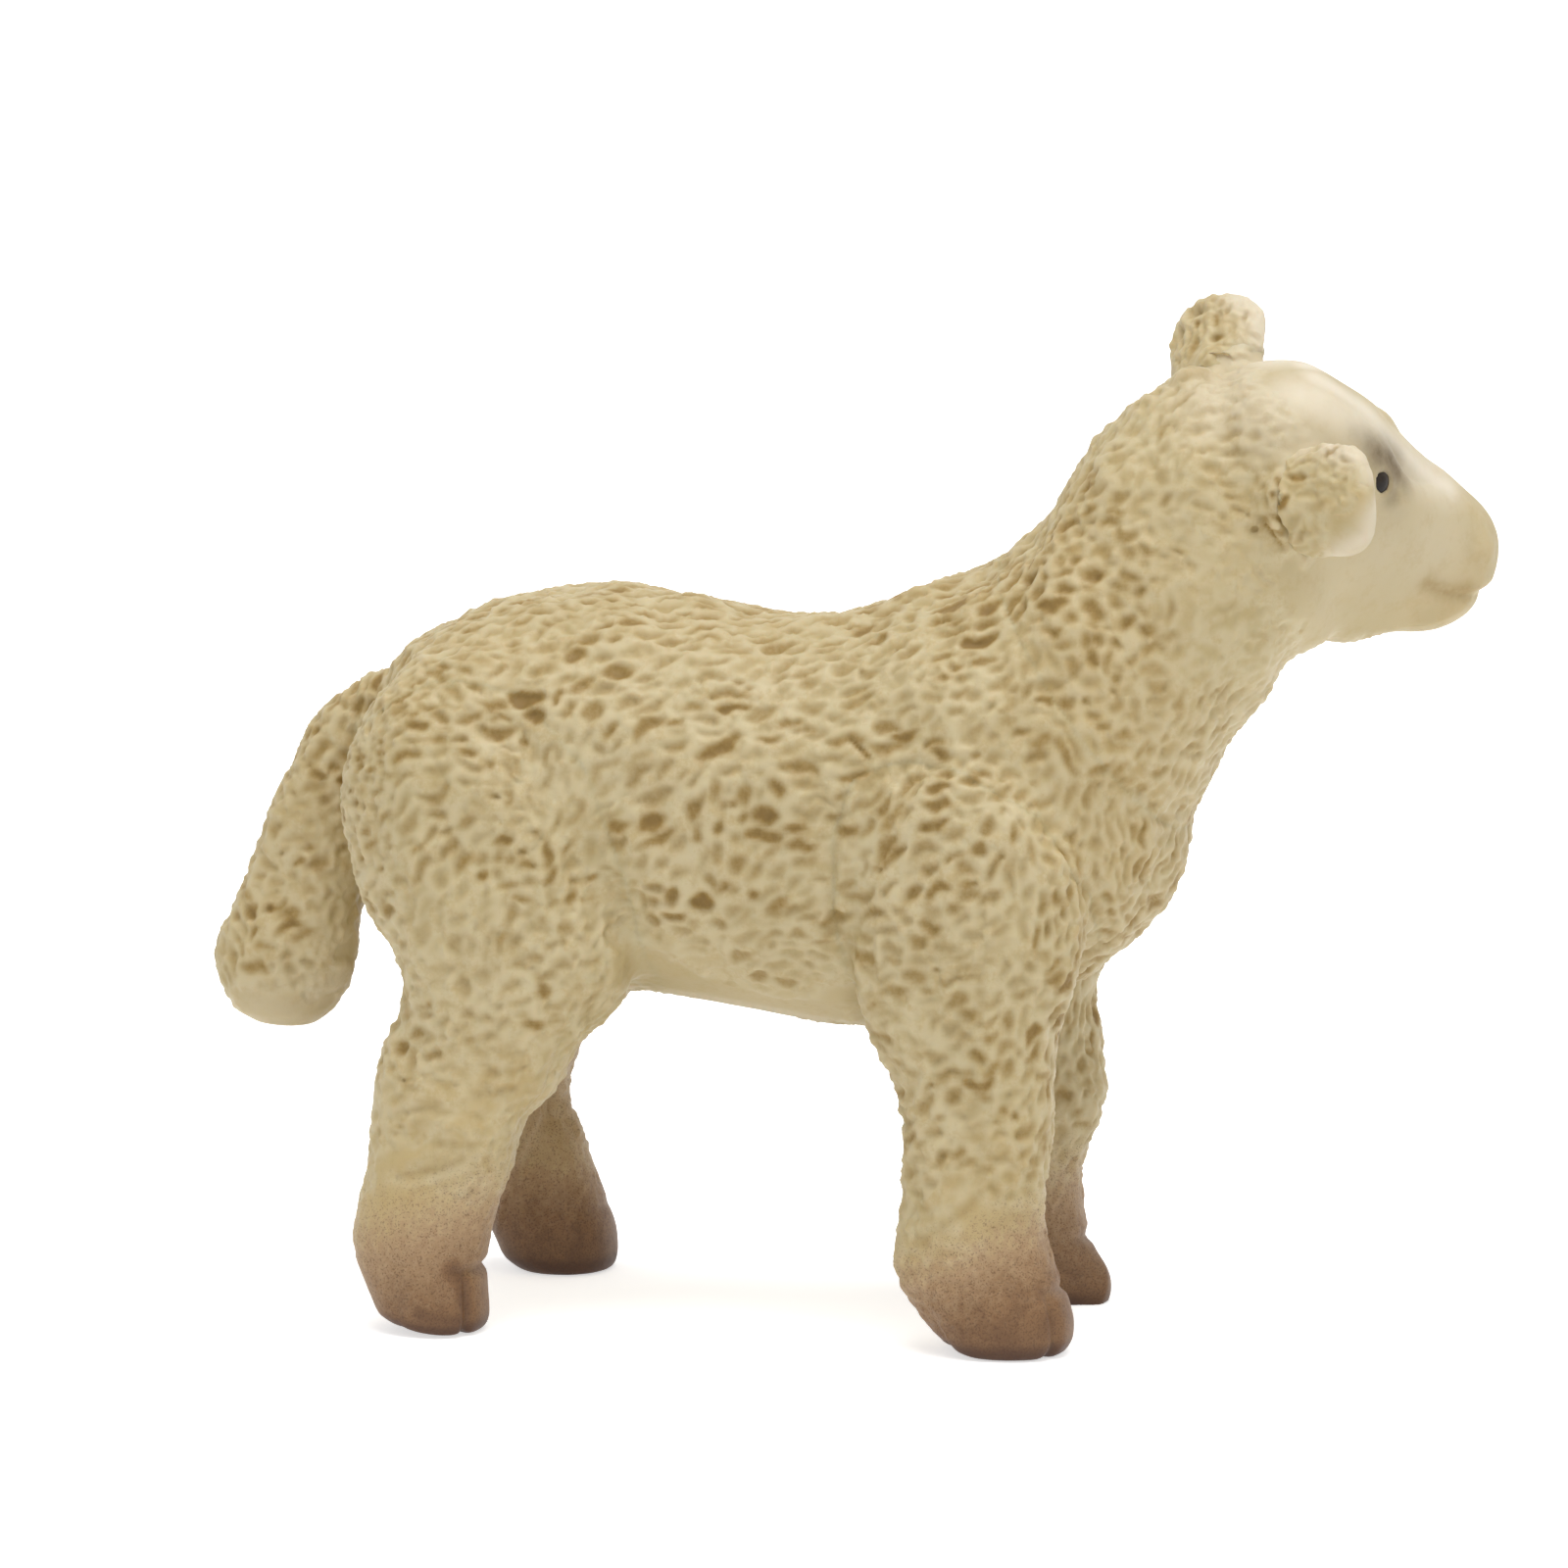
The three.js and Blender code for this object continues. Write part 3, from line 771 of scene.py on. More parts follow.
@dataclass(frozen=True)
class Trim:
    """Small changes of the form along the outline that the photograph shows.

    Attributes:
        changes: Pixels of the outline, each with how far the skin goes outwards there, in pixels.
        reach: How far round such a place the skin goes along.
        mirror: Whether the other side of the lamb changes too.
        front: Whether the pixels lie on the lamb and not beside it.
    """

    changes: Marks
    reach: float = 1.1
    mirror: bool = True
    front: bool = False

    def apply(self, caster: Caster) -> None:
        """Moves the skin, where changes overlap by their mean.

        Args:
            caster: What casts the pixels.
        """
        skin = caster.skin
        weight = np.zeros(len(skin.points))
        total = np.zeros(len(skin.points))
        for across, down, shift in self.changes:
            place = caster.hit((across, down))[0] if self.front else caster.beside((across, down))
            places, other = [place], caster.face.mirrored(place[None])[0]
            if self.mirror and np.linalg.norm(other - place) >= self.reach:
                places.append(other)
            for centre in places:
                near = skin.cells.near(centre, 2.5 * self.reach)
                gap = skin.points[near] - centre
                fall = np.exp(-np.einsum("ij,ij->i", gap, gap) / self.reach**2)
                weight[near] += fall
                total[near] += fall * shift / caster.view.pixels_per_mm
        skin.lift += total / np.maximum(weight, 1.0)


@dataclass(frozen=True)
class Pit:
    """One pit of the fleece, as an ellipse on the skin with its long side along a direction."""

    place: Array
    normal: Array
    way: Array
    half_length: float
    half_width: float
    depth: float
    stain: float
    bend: float

    def measures(self, points: Array) -> tuple[Array, Array]:
        """Gives how far points lie from the middle of the pit, along it and across it."""
        gap = points - self.place
        return gap @ self.way, gap @ np.cross(self.normal, self.way)


@dataclass
class Fleece:
    """The wool: a net of ridges, laid paler along their crests as a painted highlight, with pits between
    them.

    The pits are those that the photograph shows, their mirror images, and more in between.

    Attributes:
        seen: The pits of the photograph, as pixel, angle, length and width in pixels, and how dark they are.
        bare: Pixels round which the skin has no fleece.
        mirror: Whether the other side of the lamb gets the same pits.
        depth: The depth of a common pit.
        crest: The height of the ridge between two pits.
        ridge: The least width between two pits.
        bend: How much a pit curves.
        warp, warp_wave: How far and in what waves the outlines wander.
        tuft, tuft_wave: The height and the width of the tufts.
        strand, strand_wave: The height and the width of the strands on the ridges.
        ease: How often the relief is evened out.
        longest_share: How much longer a pit gets at most where the skin turns away from the photograph.
        seen_size: How much larger than their marks the pits of the photograph are cut.
        fill_long, fill_wide: The length and the width of the pits in between, as shares of those round them.
        fill_stain_share, fill_depth_share: What the pits in between keep of the stain and depth round them.
        fill_stains, fill_depths: Between which shares of that each one is drawn.
        fill_sizes: The least and the greatest size of the pits in between, for one round after another.
        candidates: How many places a round tries.
        batch: How many places are looked at together.
        wool_least: How much wool must be round a place for a pit.
        crowding_share: How much of a pit's ground may be taken.
        none: What stands for no pit near.
        floor_span, crest_span, wool_span, wash_span: Where, in sizes of the nearest pit from its middle, its
            floor, the crest, the wool and the wash start and end.
        wall_span, edge_span: Over which difference of the two nearest the wall and the edge of the wash rise.
        warped, free: The wandering places of the vertices, and which of them no pit has taken.
        first, second: How far each vertex lies from the two pits nearest to it, as shares of their sizes.
        sunk, stain: The depth and the stain of the nearest pit.
    """

    seen: Marks
    bare: tuple[Pixel, ...]
    mirror: bool = True
    depth: float = 0.16
    crest: float = 0.04
    ridge: float = 0.1
    bend: float = 0.3
    warp: float = 0.075
    warp_wave: float = 0.9
    tuft: float = 0.07
    tuft_wave: float = 2.6
    strand: float = 0.024
    strand_wave: float = 0.45
    ease: int = 3
    longest_share: float = 1.5
    seen_size: float = 1.12
    fill_long: float = 1.4
    fill_wide: float = 0.92
    fill_stain_share: float = 1.1
    fill_depth_share: float = 0.95
    fill_sizes: tuple[Span, ...] = ((0.8, 1.3), (0.55, 0.85))
    candidates: int = 45000
    fill_stains: Span = (0.4, 1.4)
    fill_depths: Span = (0.5, 1.2)
    batch: int = 3000
    wool_least: float = 0.45
    crowding_share: float = 0.14
    none: float = 9.0
    floor_span: Span = (1.4, 0.4)
    crest_span: Span = (0.8, 1.5)
    wool_span: Span = (3.4, 1.4)
    wash_span: Span = (1.25, 0.55)
    wall_span: Span = (0.0, 1.1)
    edge_span: Span = (-0.05, 0.6)
    warped: Array = field(init=False)
    free: Array = field(init=False)
    first: Array = field(init=False)
    second: Array = field(init=False)
    sunk: Array = field(init=False)
    stain: Array = field(init=False)

    def seen_pits(self, caster: Caster, draw: np.random.Generator) -> list[Pit]:
        """Casts the pits of the photograph and reflects those whose place it doesn't show.

        Args:
            caster: What casts the pixels.
            draw: The random draws for the bends.

        Returns:
            The pits of both sides.
        """
        right, up, back = caster.view.axes()
        scale = caster.view.pixels_per_mm
        pits = []
        for across, down, angle, long, wide, stain in self.seen:
            hit = caster.hit((across, down))
            bend = draw.normal() * self.bend
            if hit is None:
                continue
            place, normal = hit
            turn = math.radians(angle)
            way = math.cos(turn) * right + math.sin(turn) * up
            facing = max(float(normal @ back), 0.35)
            way = way - (way @ normal) / facing * back
            stretch = min(float(np.linalg.norm(way)), self.longest_share)
            pit = Pit(
                place, normal, flattened(way, normal), self.seen_size * stretch * long / scale / 2,
                self.seen_size * wide / scale / 2, self.depth * (0.3 + 0.9 * stain), stain, bend,
            )
            pits.append(pit)
            if self.mirror:
                other = self.reflected(pit, caster)
                if not caster.sees(other.place):
                    pits.append(other)
        return pits

    def reflected(self, pit: Pit, caster: Caster) -> Pit:
        """Gives the same pit on the other side of the lamb."""
        face = caster.face
        near = np.linalg.norm(pit.place - face.origin) < face.reach
        found = caster.skin.tree.find_nearest(Vector(face.mirrored(pit.place[None])[0]))
        place, normal = np.array(found[0]), np.array(found[1])
        way = face.mirrored(pit.way[None], ways=True)[0] if near else pit.way * np.array([1.0, -1.0, 1.0])
        return replace(pit, place=place, normal=normal, way=flattened(way, normal), bend=-pit.bend)

    def carve(self, caster: Caster) -> int:
        """Cuts all pits into the skin and stains them.

        Args:
            caster: What casts the pixels.

        Returns:
            The number of pits.
        """
        skin = caster.skin
        count = len(skin.points)
        draw = np.random.default_rng(SEED)
        waves = [Ripple(self.warp_wave, SEED + 10 + axis).at(skin.points) for axis in range(3)]
        self.warped = skin.points + self.warp * np.stack(waves, axis=1)
        self.free = np.ones(count, dtype=bool)
        self.first, self.second = np.full(count, self.none), np.full(count, self.none)
        self.sunk, self.stain = np.zeros(count), np.zeros(count)
        pits = self.seen_pits(caster, draw)
        bare = np.array([hit[0] for hit in map(caster.hit, self.bare) if hit is not None]).reshape(-1, 3)
        if self.mirror:
            bare = np.concatenate([bare, caster.snap(caster.face.mirrored(bare))])
        for pit in pits:
            self.take(skin, pit)
        pits += self.fill_pits(skin, pits, bare, draw)
        for pit in pits:
            self.sink(skin, pit)
        self.shape(skin)
        return len(pits)

    def take(self, skin: Skin, pit: Pit) -> None:
        """Marks the ground of a pit as taken."""
        near = skin.cells.near(pit.place, pit.half_length + self.ridge)
        along, side = pit.measures(skin.points[near])
        outer = np.hypot(along / (pit.half_length + self.ridge), side / (pit.half_width + self.ridge))
        self.free[near[outer < 1.0]] = False

    def sink(self, skin: Skin, pit: Pit) -> None:
        """Tells each vertex round a pit how far it is from it, as a share of the pit's size."""
        near = skin.cells.near(pit.place, 1.9 * pit.half_length + self.ridge)
        near = near[skin.normals[near] @ pit.normal > 0.1]
        along, side = pit.measures(self.warped[near])
        across = np.hypot(along / pit.half_length, (side - pit.bend * along**2) / pit.half_width)
        closer = across < self.first[near]
        self.second[near] = np.where(closer, self.first[near], np.minimum(self.second[near], across))
        self.first[near] = np.where(closer, across, self.first[near])
        self.sunk[near[closer]] = pit.depth
        self.stain[near[closer]] = pit.stain

    def shape(self, skin: Skin) -> None:
        """Turns the distances into relief and paint: floors within the pits, crests where two meet, and a
        painted highlight on the crests.
        """
        apart = self.second - self.first
        wall = smooth_step(*self.wall_span, apart)
        floor = smooth_step(*self.floor_span, self.first) * wall
        woolly = smooth_step(*self.wool_span, self.first)
        crest = np.maximum(smooth_step(*self.crest_span, self.first), 1.0 - wall) * woolly
        relief = self.crest * crest - self.sunk * floor
        wash = self.stain * smooth_step(*self.wash_span, self.first) * smooth_step(*self.edge_span, apart)
        rows = np.stack([relief, wash, crest], axis=1)
        for _ in range(self.ease):
            rows = 0.5 * rows + 0.5 * spread(rows, skin.faces)
        swell = self.tuft * Ripple(self.tuft_wave, SEED + 4).at(skin.points)
        strand = self.strand * Ripple(self.strand_wave, SEED + 6).at(self.warped)
        skin.lift += rows[:, 0] + (swell + strand) * woolly
        skin.paint[Channel.WASH] = np.maximum(skin.paint[Channel.WASH], rows[:, 1])
        # This channel lays a painted highlight along the crests.
        skin.paint[Channel.RIDGE] = rows[:, 2]

    def fill_pits(
        self, skin: Skin, pits: list[Pit], bare: Array, draw: np.random.Generator
    ) -> list[Pit]:
        """Finds room for more pits, which follow the run and the size of those around them.

        Args:
            skin: The skin.
            pits: The pits of the photograph.
            bare: Places without fleece.
            draw: The random draws.

        Returns:
            The new pits.
        """
        places = np.array([pit.place for pit in pits] + list(bare))
        ways = np.array([pit.way for pit in pits] + [np.zeros(3)] * len(bare))
        tensors = np.einsum("ij,ik->ijk", ways, ways).reshape(-1, 9)
        facts = np.array([[pit.half_length, pit.half_width, pit.depth, pit.stain, 1.0] for pit in pits])
        facts = np.concatenate([facts, np.zeros((len(bare), 5))])
        table = np.concatenate([tensors, facts], axis=1)
        made = []
        for sizes in self.fill_sizes:
            picked = draw.permutation(np.flatnonzero(self.free))[: self.candidates]
            for block in np.array_split(picked, 1 + len(picked) // self.batch):
                block = block[self.free[block]]
                gaps = ((skin.points[block][:, None] - places[None]) ** 2).sum(axis=2)
                weights = (gaps + 0.08) ** -2.5
                mixed = (weights @ table) / weights.sum(axis=1, keepdims=True)
                runs = np.linalg.eigh(mixed[:, :9].reshape(-1, 3, 3))[1][:, :, 2]
                for index, way, fact in zip(block, runs, mixed[:, 9:]):
                    wool = fact[4]
                    if wool < self.wool_least or not self.free[index]:
                        continue
                    normal = skin.normals[index]
                    size = draw.uniform(*sizes) / wool
                    full = smooth_step(self.wool_least, 1.0, wool)
                    stain = fact[3] / wool * self.fill_stain_share * draw.uniform(*self.fill_stains) * full
                    depth = fact[2] / wool * self.fill_depth_share * draw.uniform(*self.fill_depths) * full
                    pit = Pit(
                        skin.points[index], normal, flattened(way, normal),
                        fact[0] * size * self.fill_long / self.seen_size,
                        fact[1] * size * self.fill_wide / self.seen_size, depth, stain,
                        draw.normal() * self.bend,
                    )
                    if not self.crowded(skin, pit):
                        self.take(skin, pit)
                        made.append(pit)
        return made

    def crowded(self, skin: Skin, pit: Pit) -> bool:
        """Tells whether too much of the ground of a pit is taken."""
        near = skin.cells.near(pit.place, pit.half_length)
        along, side = pit.measures(skin.points[near])
        ground = near[np.hypot(along / pit.half_length, side / pit.half_width) < 0.9]
        return not len(ground) or (~self.free[ground]).mean() > self.crowding_share


@dataclass
class Parting:
    """Parts the skin into one closed piece for each casting.

    Attributes:
        skin: The skin.
        lip: How deep the wall goes down from the seam before it closes inside the figure.
        settle: How often the distances are evened out before the seams are read from them.
        ease: How often a seam line is smoothed.
        owners: The number of the casting that each face belongs to.
    """

    skin: Skin
    lip: float = 0.45
    settle: int = 8
    ease: int = 5
    owners: Array = field(init=False)

    def __post_init__(self) -> None:
        """Finds which piece each face belongs to and smooths the lines between them."""
        gaps = self.skin.gaps
        for _ in range(self.settle):
            gaps = 0.5 * gaps + 0.5 * spread(gaps, self.skin.faces)
        totals = gaps[self.skin.faces].sum(axis=1)
        self.owners = np.argmin(totals, axis=1)
        for number in range(gaps.shape[1]):
            self.give_islands_away(number, totals)
        self.smooth_lines()

    def give_islands_away(self, number: int, totals: Array) -> None:
        """Leaves a casting only its largest patch of skin.

        Args:
            number: The casting.
            totals: The distance of each face to each casting.
        """
        mine = np.flatnonzero(self.owners == number)
        quads = self.skin.faces[mine]
        label = patches(quads, len(self.skin.points))[quads[:, 0]]
        small = mine[label != np.argmax(np.bincount(label))]
        others = totals[small].copy()
        others[:, number] = np.inf
        self.owners[small] = np.argmin(others, axis=1)

    def lines(self) -> Array:
        """Lists the edges between faces of different castings."""
        pairs = np.sort(np.stack(around(self.skin.faces), axis=1), axis=1)
        order = np.lexsort((pairs[:, 1], pairs[:, 0]))
        twins = order.reshape(-1, 2)
        owners = self.owners[twins // 4]
        return pairs[twins[owners[:, 0] != owners[:, 1], 0]]

    def smooth_lines(self) -> None:
        """Takes the steps out of the seam lines."""
        lines = self.lines()
        points = self.skin.points.copy()
        plain = np.bincount(lines.ravel(), minlength=len(points)) == 2
        for _ in range(self.ease):
            total = np.zeros_like(points)
            for here, there in (lines.T, lines.T[::-1]):
                np.add.at(total, here, points[there])
            points[plain] = 0.5 * points[plain] + 0.25 * total[plain]
        self.skin.points = points

    def piece(self, name: str, casting: str) -> bpy.types.Object:
        """Makes the closed piece of one casting.

        Args:
            name: The name of the new object.
            casting: The node whose share of the skin it takes.

        Returns:
            The piece, in metres, with its paint on its vertices.
        """
        skin = self.skin
        quads = skin.faces[self.owners == skin.names.index(casting)]
        used, compact = np.unique(quads, return_inverse=True)
        quads = compact.reshape(quads.shape)
        points, normals = skin.points[used], skin.normals[used]
        places, ways, source = [points], [normals], [np.arange(len(used))]
        sides, caps = [quads], [quads[:0, :3]]
        top = len(used)
        for loop in self.rims(quads, len(used)):
            inner, apex = top + np.arange(len(loop)), top + len(loop)
            down = points[loop] - self.lip * normals[loop]
            places += [down, down.mean(axis=0, keepdims=True)]
            ways += [normals[loop], unit(normals[loop].mean(axis=0, keepdims=True))]
            source += [loop, loop[:1]]
            onward, inner_onward = np.roll(loop, -1), np.roll(inner, -1)
            sides.append(np.stack([onward, loop, inner, inner_onward], axis=1))
            caps.append(np.stack([inner_onward, inner, np.full(len(loop), apex)], axis=1))
            top = apex + 1
        mesh = mesh_of(name, np.concatenate(places) * MM, np.concatenate(sides), np.concatenate(caps))
        mesh.normals_split_custom_set_from_vertices(np.concatenate(ways).tolist())
        source = used[np.concatenate(source)]
        for channel, values in skin.paint.items():
            mesh.attributes.new(channel.value, "FLOAT", "POINT").data.foreach_set("value", values[source])
        return linked(name, mesh)

    @staticmethod
    def rims(quads: Array, count: int) -> list[Array]:
        """Follows the open edges of a patch.

        Args:
            quads: The faces of the patch.
            count: The number of its vertices.

        Returns:
            The closed lines of vertices along its rims.
        """
        starts, ends = around(quads)
        forward, backward = starts * count + ends, ends * count + starts
        rim = ~np.isin(forward, backward)
        following: dict[int, list[int]] = {}
        for start, end in zip(starts[rim].tolist(), ends[rim].tolist()):
            following.setdefault(start, []).append(end)
        loops = []
        while following:
            first = place = next(iter(following))
            loop: list[int] = []
            while not loop or place != first:
                loop.append(place)
                ways = following[place]
                onward = ways.pop()
                if not ways:
                    del following[place]
                place = onward
            loops.append(np.array(loop))
        return loops


class Wire:
    """A value, a colour or a shader on its way through a material, which sums can be written with."""

    def __init__(self, sheet: "Sheet", socket: bpy.types.NodeSocket) -> None:
        """Keeps the socket that gives the value."""
        self.sheet = sheet
        self.socket = socket

    def __add__(self, other: "Wire | float") -> "Wire":
        """Adds."""
        return self.sheet.maths("ADD", self, other)

    __radd__ = __add__

    def __sub__(self, other: "Wire | float") -> "Wire":
        """Takes the other away."""
        return self.sheet.maths("SUBTRACT", self, other)

    def __rsub__(self, other: float) -> "Wire":
        """Takes this away from a number."""
        return self.sheet.maths("SUBTRACT", other, self)

    def __mul__(self, other: "Wire | float") -> "Wire":
        """Multiplies."""
        return self.sheet.maths("MULTIPLY", self, other)

    __rmul__ = __mul__

    def clamped(self) -> "Wire":
        """Keeps the value between 0 and 1."""
        return self.sheet.maths("ADD", self, 0.0, clamp=True)

    def eased(self, low: float, high: float) -> "Wire":
        """Runs from 0 where the value is low to 1 where it is high."""
        inputs = {"Value": self, "From Min": low, "From Max": high, "To Min": 0.0, "To Max": 1.0}
        return self.sheet.wire("Result", "ShaderNodeMapRange", {"interpolation_type": "SMOOTHSTEP"}, inputs)


class Sheet:
    """The node tree of one material or of the world."""

    def __init__(self, owner: bpy.types.Material | bpy.types.World) -> None:
        """Empties the node tree of a material or a world."""
        owner.use_nodes = True
        self.owner = owner
        self.tree = owner.node_tree
        self.tree.nodes.clear()

    def node(self, kind: str, settings: dict | None = None, inputs: dict | None = None) -> bpy.types.Node:
        """Adds a node.

        Args:
            kind: The type of the node.
            settings: Its settings by name, which are set first.
            inputs: The values or wires of its sockets, by name or number.

        Returns:
            The node.
        """
        made = self.tree.nodes.new(kind)
        for name, value in (settings or {}).items():
            setattr(made, name, value)
        for name, value in (inputs or {}).items():
            if isinstance(value, Wire):
                self.tree.links.new(value.socket, made.inputs[name])
            else:
                made.inputs[name].default_value = value
        return made

    def wire(
        self, out: str | int, kind: str, settings: dict | None = None, inputs: dict | None = None
    ) -> Wire:
        """Adds a node and gives the output of that name or number."""
        return Wire(self, self.node(kind, settings, inputs).outputs[out])

    def maths(self, operation: str, first: Wire | float, second: Wire | float, clamp: bool = False) -> Wire:
        """Adds a sum or a product of two values."""
        settings = {"operation": operation, "use_clamp": clamp}
        return self.wire(0, "ShaderNodeMath", settings, {0: first, 1: second})

    def paint(self, channel: Channel) -> Wire:
        """Reads a paint that is kept on the vertices."""
        return self.wire("Fac", "ShaderNodeAttribute", {"attribute_name": channel.value})

    def cloud(self, size: float, detail: float = 2.0, rough: float = 0.5) -> Wire:
        """Gives a cloudy value about 0.5.

        Args:
            size: The size of its patches in millimetres.
            detail: How many finer layers it has.
            rough: How strong the finer layers are.

        Returns:
            The value.
        """
        place = self.wire("Object", "ShaderNodeTexCoord")
        inputs = {"Vector": place, "Scale": 1.0 / (size * MM), "Detail": detail, "Roughness": rough}
        return self.wire("Fac", "ShaderNodeTexNoise", {"noise_dimensions": "3D"}, inputs)

    def blend(self, share: Wire, under: Wire | Colour, over: Colour) -> Wire:
        """Lays a colour over another.

        Args:
            share: How much of the upper colour shows.
            under: The lower colour, as a wire or in screen levels.
            over: The upper colour in screen levels.

        Returns:
            The mixed colour.
        """
        under = under if isinstance(under, Wire) else linear(under)
        settings = {"data_type": "RGBA", "blend_type": "MIX"}
        return self.wire(2, "ShaderNodeMix", settings, {0: share, 6: under, 7: linear(over)})

    def bump(self, height: Wire, depth: float, strength: float) -> Wire:
        """Turns a height into a surface direction.

        Args:
            height: The height, from 0 to 1.
            depth: What 1 stands for, in millimetres.
            strength: How strong it shows.

        Returns:
            The direction.
        """
        inputs = {"Height": height, "Distance": depth * MM, "Strength": strength}
        return self.wire("Normal", "ShaderNodeBump", inputs=inputs)

    def finish(self, shader: Wire, kind: str = "Material") -> bpy.types.Material | bpy.types.World:
        """Puts the last shader out and gives the material or the world."""
        self.node(f"ShaderNodeOutput{kind}", inputs={"Surface": shader})
        return self.owner


@dataclass(frozen=True)
class PaintedPlastic:
    """Cream soft plastic with an ochre wash in its pits and sprayed colours over it.

    Attributes:
        name: The name of the material.
        cream, shaded: The plastic and its darker patches. All colours are in screen levels.
        ridge: The paler colour of the crests of the wool, a painted highlight.
        wash, deep: The wash in the pits, and where it lies thick.
        mist: The thin spots of wash on the wool.
        warm, chalk, smoke: The paints of the cheeks, of the face and round the eyes. Chalk also lays painted
            light, and smoke painted shade.
        blush, dust, dark_dust: The brown spray where it is thin and thick, and its dots and patches. On the
            far hind leg it is partly painted shade.
        roughness: How dull the surface is.
        grain_size, grain_depth: The grain of the surface.
        glow, glow_depth: How much light goes into the plastic, and how deep.
    """

    name: str
    cream: Colour = (198, 181, 139)
    shaded: Colour = (184, 166, 120)
    ridge: Colour = (206, 192, 155)
    wash: Colour = (154, 125, 66)
    deep: Colour = (118, 90, 42)
    mist: Colour = (178, 152, 96)
    warm: Colour = (188, 164, 112)
    chalk: Colour = (229, 218, 196)
    smoke: Colour = (88, 66, 26)
    blush_and_shade: Colour = (178, 146, 112)
    dust: Colour = (128, 92, 57)
    dark_dust: Colour = (70, 39, 17)
    roughness: float = 0.52
    grain_size: float = 0.16
    grain_depth: float = 0.012
    glow: float = 0.3
    glow_depth: float = 0.5

    def material(self) -> bpy.types.Material:
        """Lays the paints over one another and builds the material."""
        sheet = Sheet(bpy.data.materials.new(self.name))
        wash, warm, chalk, smoke, dust, ridge = (sheet.paint(channel) for channel in Channel)
        wide, middle, fine = sheet.cloud(5.0), sheet.cloud(1.1, 3.0), sheet.cloud(0.22, 2.0, 0.6)
        mist = sheet.cloud(0.8, 5.0, 0.7).eased(0.46, 0.7) * (ridge * 0.25 + 0.3)
        film = (wash * (fine * 0.6 + 0.7)).clamped()
        coats = (
            (warm * (middle * 0.8 + 0.6), self.warm),
            # Painted highlight on the crests of the wool.
            (ridge * 0.75, self.ridge),
            # White paint of the face, also laid as painted light.
            (chalk * (middle * 0.3 + 0.85), self.chalk),
            (mist * (1.0 - chalk), self.mist),
            (film.eased(0.0, 0.9), self.wash),
            (film.eased(0.5, 1.1) * 0.6, self.deep),
            # Grey spray round the eyes, with painted shade beside them.
            (smoke * (fine * 0.3 + 0.85), self.smoke),
            *self.dusting(sheet, dust, fine),
        )
        colour = sheet.blend(wide.eased(0.35, 0.7), self.cream, self.shaded)
        for share, coat in coats:
            colour = sheet.blend(share.clamped(), colour, coat)
        return sheet.finish(sheet.wire(0, "ShaderNodeBsdfPrincipled", inputs={
            "Base Color": colour,
            "Roughness": (self.roughness + (fine - 0.5) * 0.16 + film * 0.1).clamped(),
            "Normal": sheet.bump(sheet.cloud(self.grain_size, 3.0, 0.6), self.grain_depth, 0.8),
            "Specular IOR Level": 0.4,
            "Subsurface Weight": self.glow,
            "Subsurface Radius": (1.0, 0.6, 0.35),
            "Subsurface Scale": self.glow_depth * MM,
        }))

    def dusting(self, sheet: Sheet, dust: Wire, fine: Wire) -> tuple[tuple[Wire, Colour], ...]:
        """Gives the coats of brown over the lower legs, in fine dots where the spray is thin.

        Args:
            sheet: The node tree.
            dust: How dense the spray is.
            fine: A fine cloudy value.

        Returns:
            How much shows of each coat, and its colour.
        """
        dots, blotches = sheet.cloud(0.075, 2.0, 0.6), sheet.cloud(0.9, 3.0, 0.6)
        film = (dust * (fine * 0.5 + 0.75)).clamped()
        return (
            # Thin brown spray, on the far hind leg partly painted shade.
            (film.eased(0.04, 0.54) * 0.8, self.blush_and_shade),
            (film.eased(0.2, 1.0) * 0.9, self.dust),
            (blotches.eased(0.4, 0.68) * dust.eased(0.45, 1.0) * 0.3, self.dark_dust),
            ((dots + dust * 0.06).eased(0.55, 0.7) * dust.eased(0.0, 0.25) * 0.5, self.dark_dust),
            (dust.eased(0.8, 1.6) * 0.85, self.dark_dust),
        )


@dataclass(frozen=True)
class GlossLacquer:
    """The black lacquer of an eye, with patches of grey in its colour as painted reflection."""

    name: str
    black: Colour = (20, 12, 4)
    grey: Colour = (46, 34, 18)
    roughness: float = 0.3

    def material(self) -> bpy.types.Material:
        """Builds the material."""
        sheet = Sheet(bpy.data.materials.new(self.name))
        fine = sheet.cloud(0.12, 2.0)
        return sheet.finish(sheet.wire(0, "ShaderNodeBsdfPrincipled", inputs={
            # Painted reflection: grey patches mixed into the black.
            "Base Color": sheet.blend(sheet.cloud(0.5, 2.0).eased(0.3, 0.8), self.black, self.grey),
            "Roughness": (self.roughness + (fine - 0.5) * 0.08).clamped(),
            "Normal": sheet.bump(fine, 0.006, 0.5),
            "Specular IOR Level": 0.22,
            "Coat Weight": 0.06,
            "Coat Roughness": 0.08,
        }))


def dress(piece: bpy.types.Object, node: str, finish: PaintedPlastic | GlossLacquer) -> None:
    """Gives a piece its finish and its place in the frame.

    Args:
        piece: The piece.
        node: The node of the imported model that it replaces.
        finish: Its finish.
    """
    piece.data.materials.append(finish.material())
    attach(piece, BODY)
    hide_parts(node)
    log.info("%s: %d faces", piece.name, len(piece.data.polygons))


@dataclass
class Casting:
    """One casting of the lamb: its node, its slot, and the strokes that shape and paint it."""

    node: str
    slot: Slot
    strokes: tuple[Stroke, ...] = ()

    def carve(self, caster: Caster) -> None:
        """Adds the relief and the paint that belong to this casting."""
        for stroke in self.strokes:
            stroke.lay(caster)

    def build(self, parting: Parting) -> None:
        """Takes the casting's share of the skin and dresses it."""
        piece = parting.piece(f"{self.node}_casting", self.node)
        dress(piece, self.node, PaintedPlastic(f"painted_{self.slot.value}"))


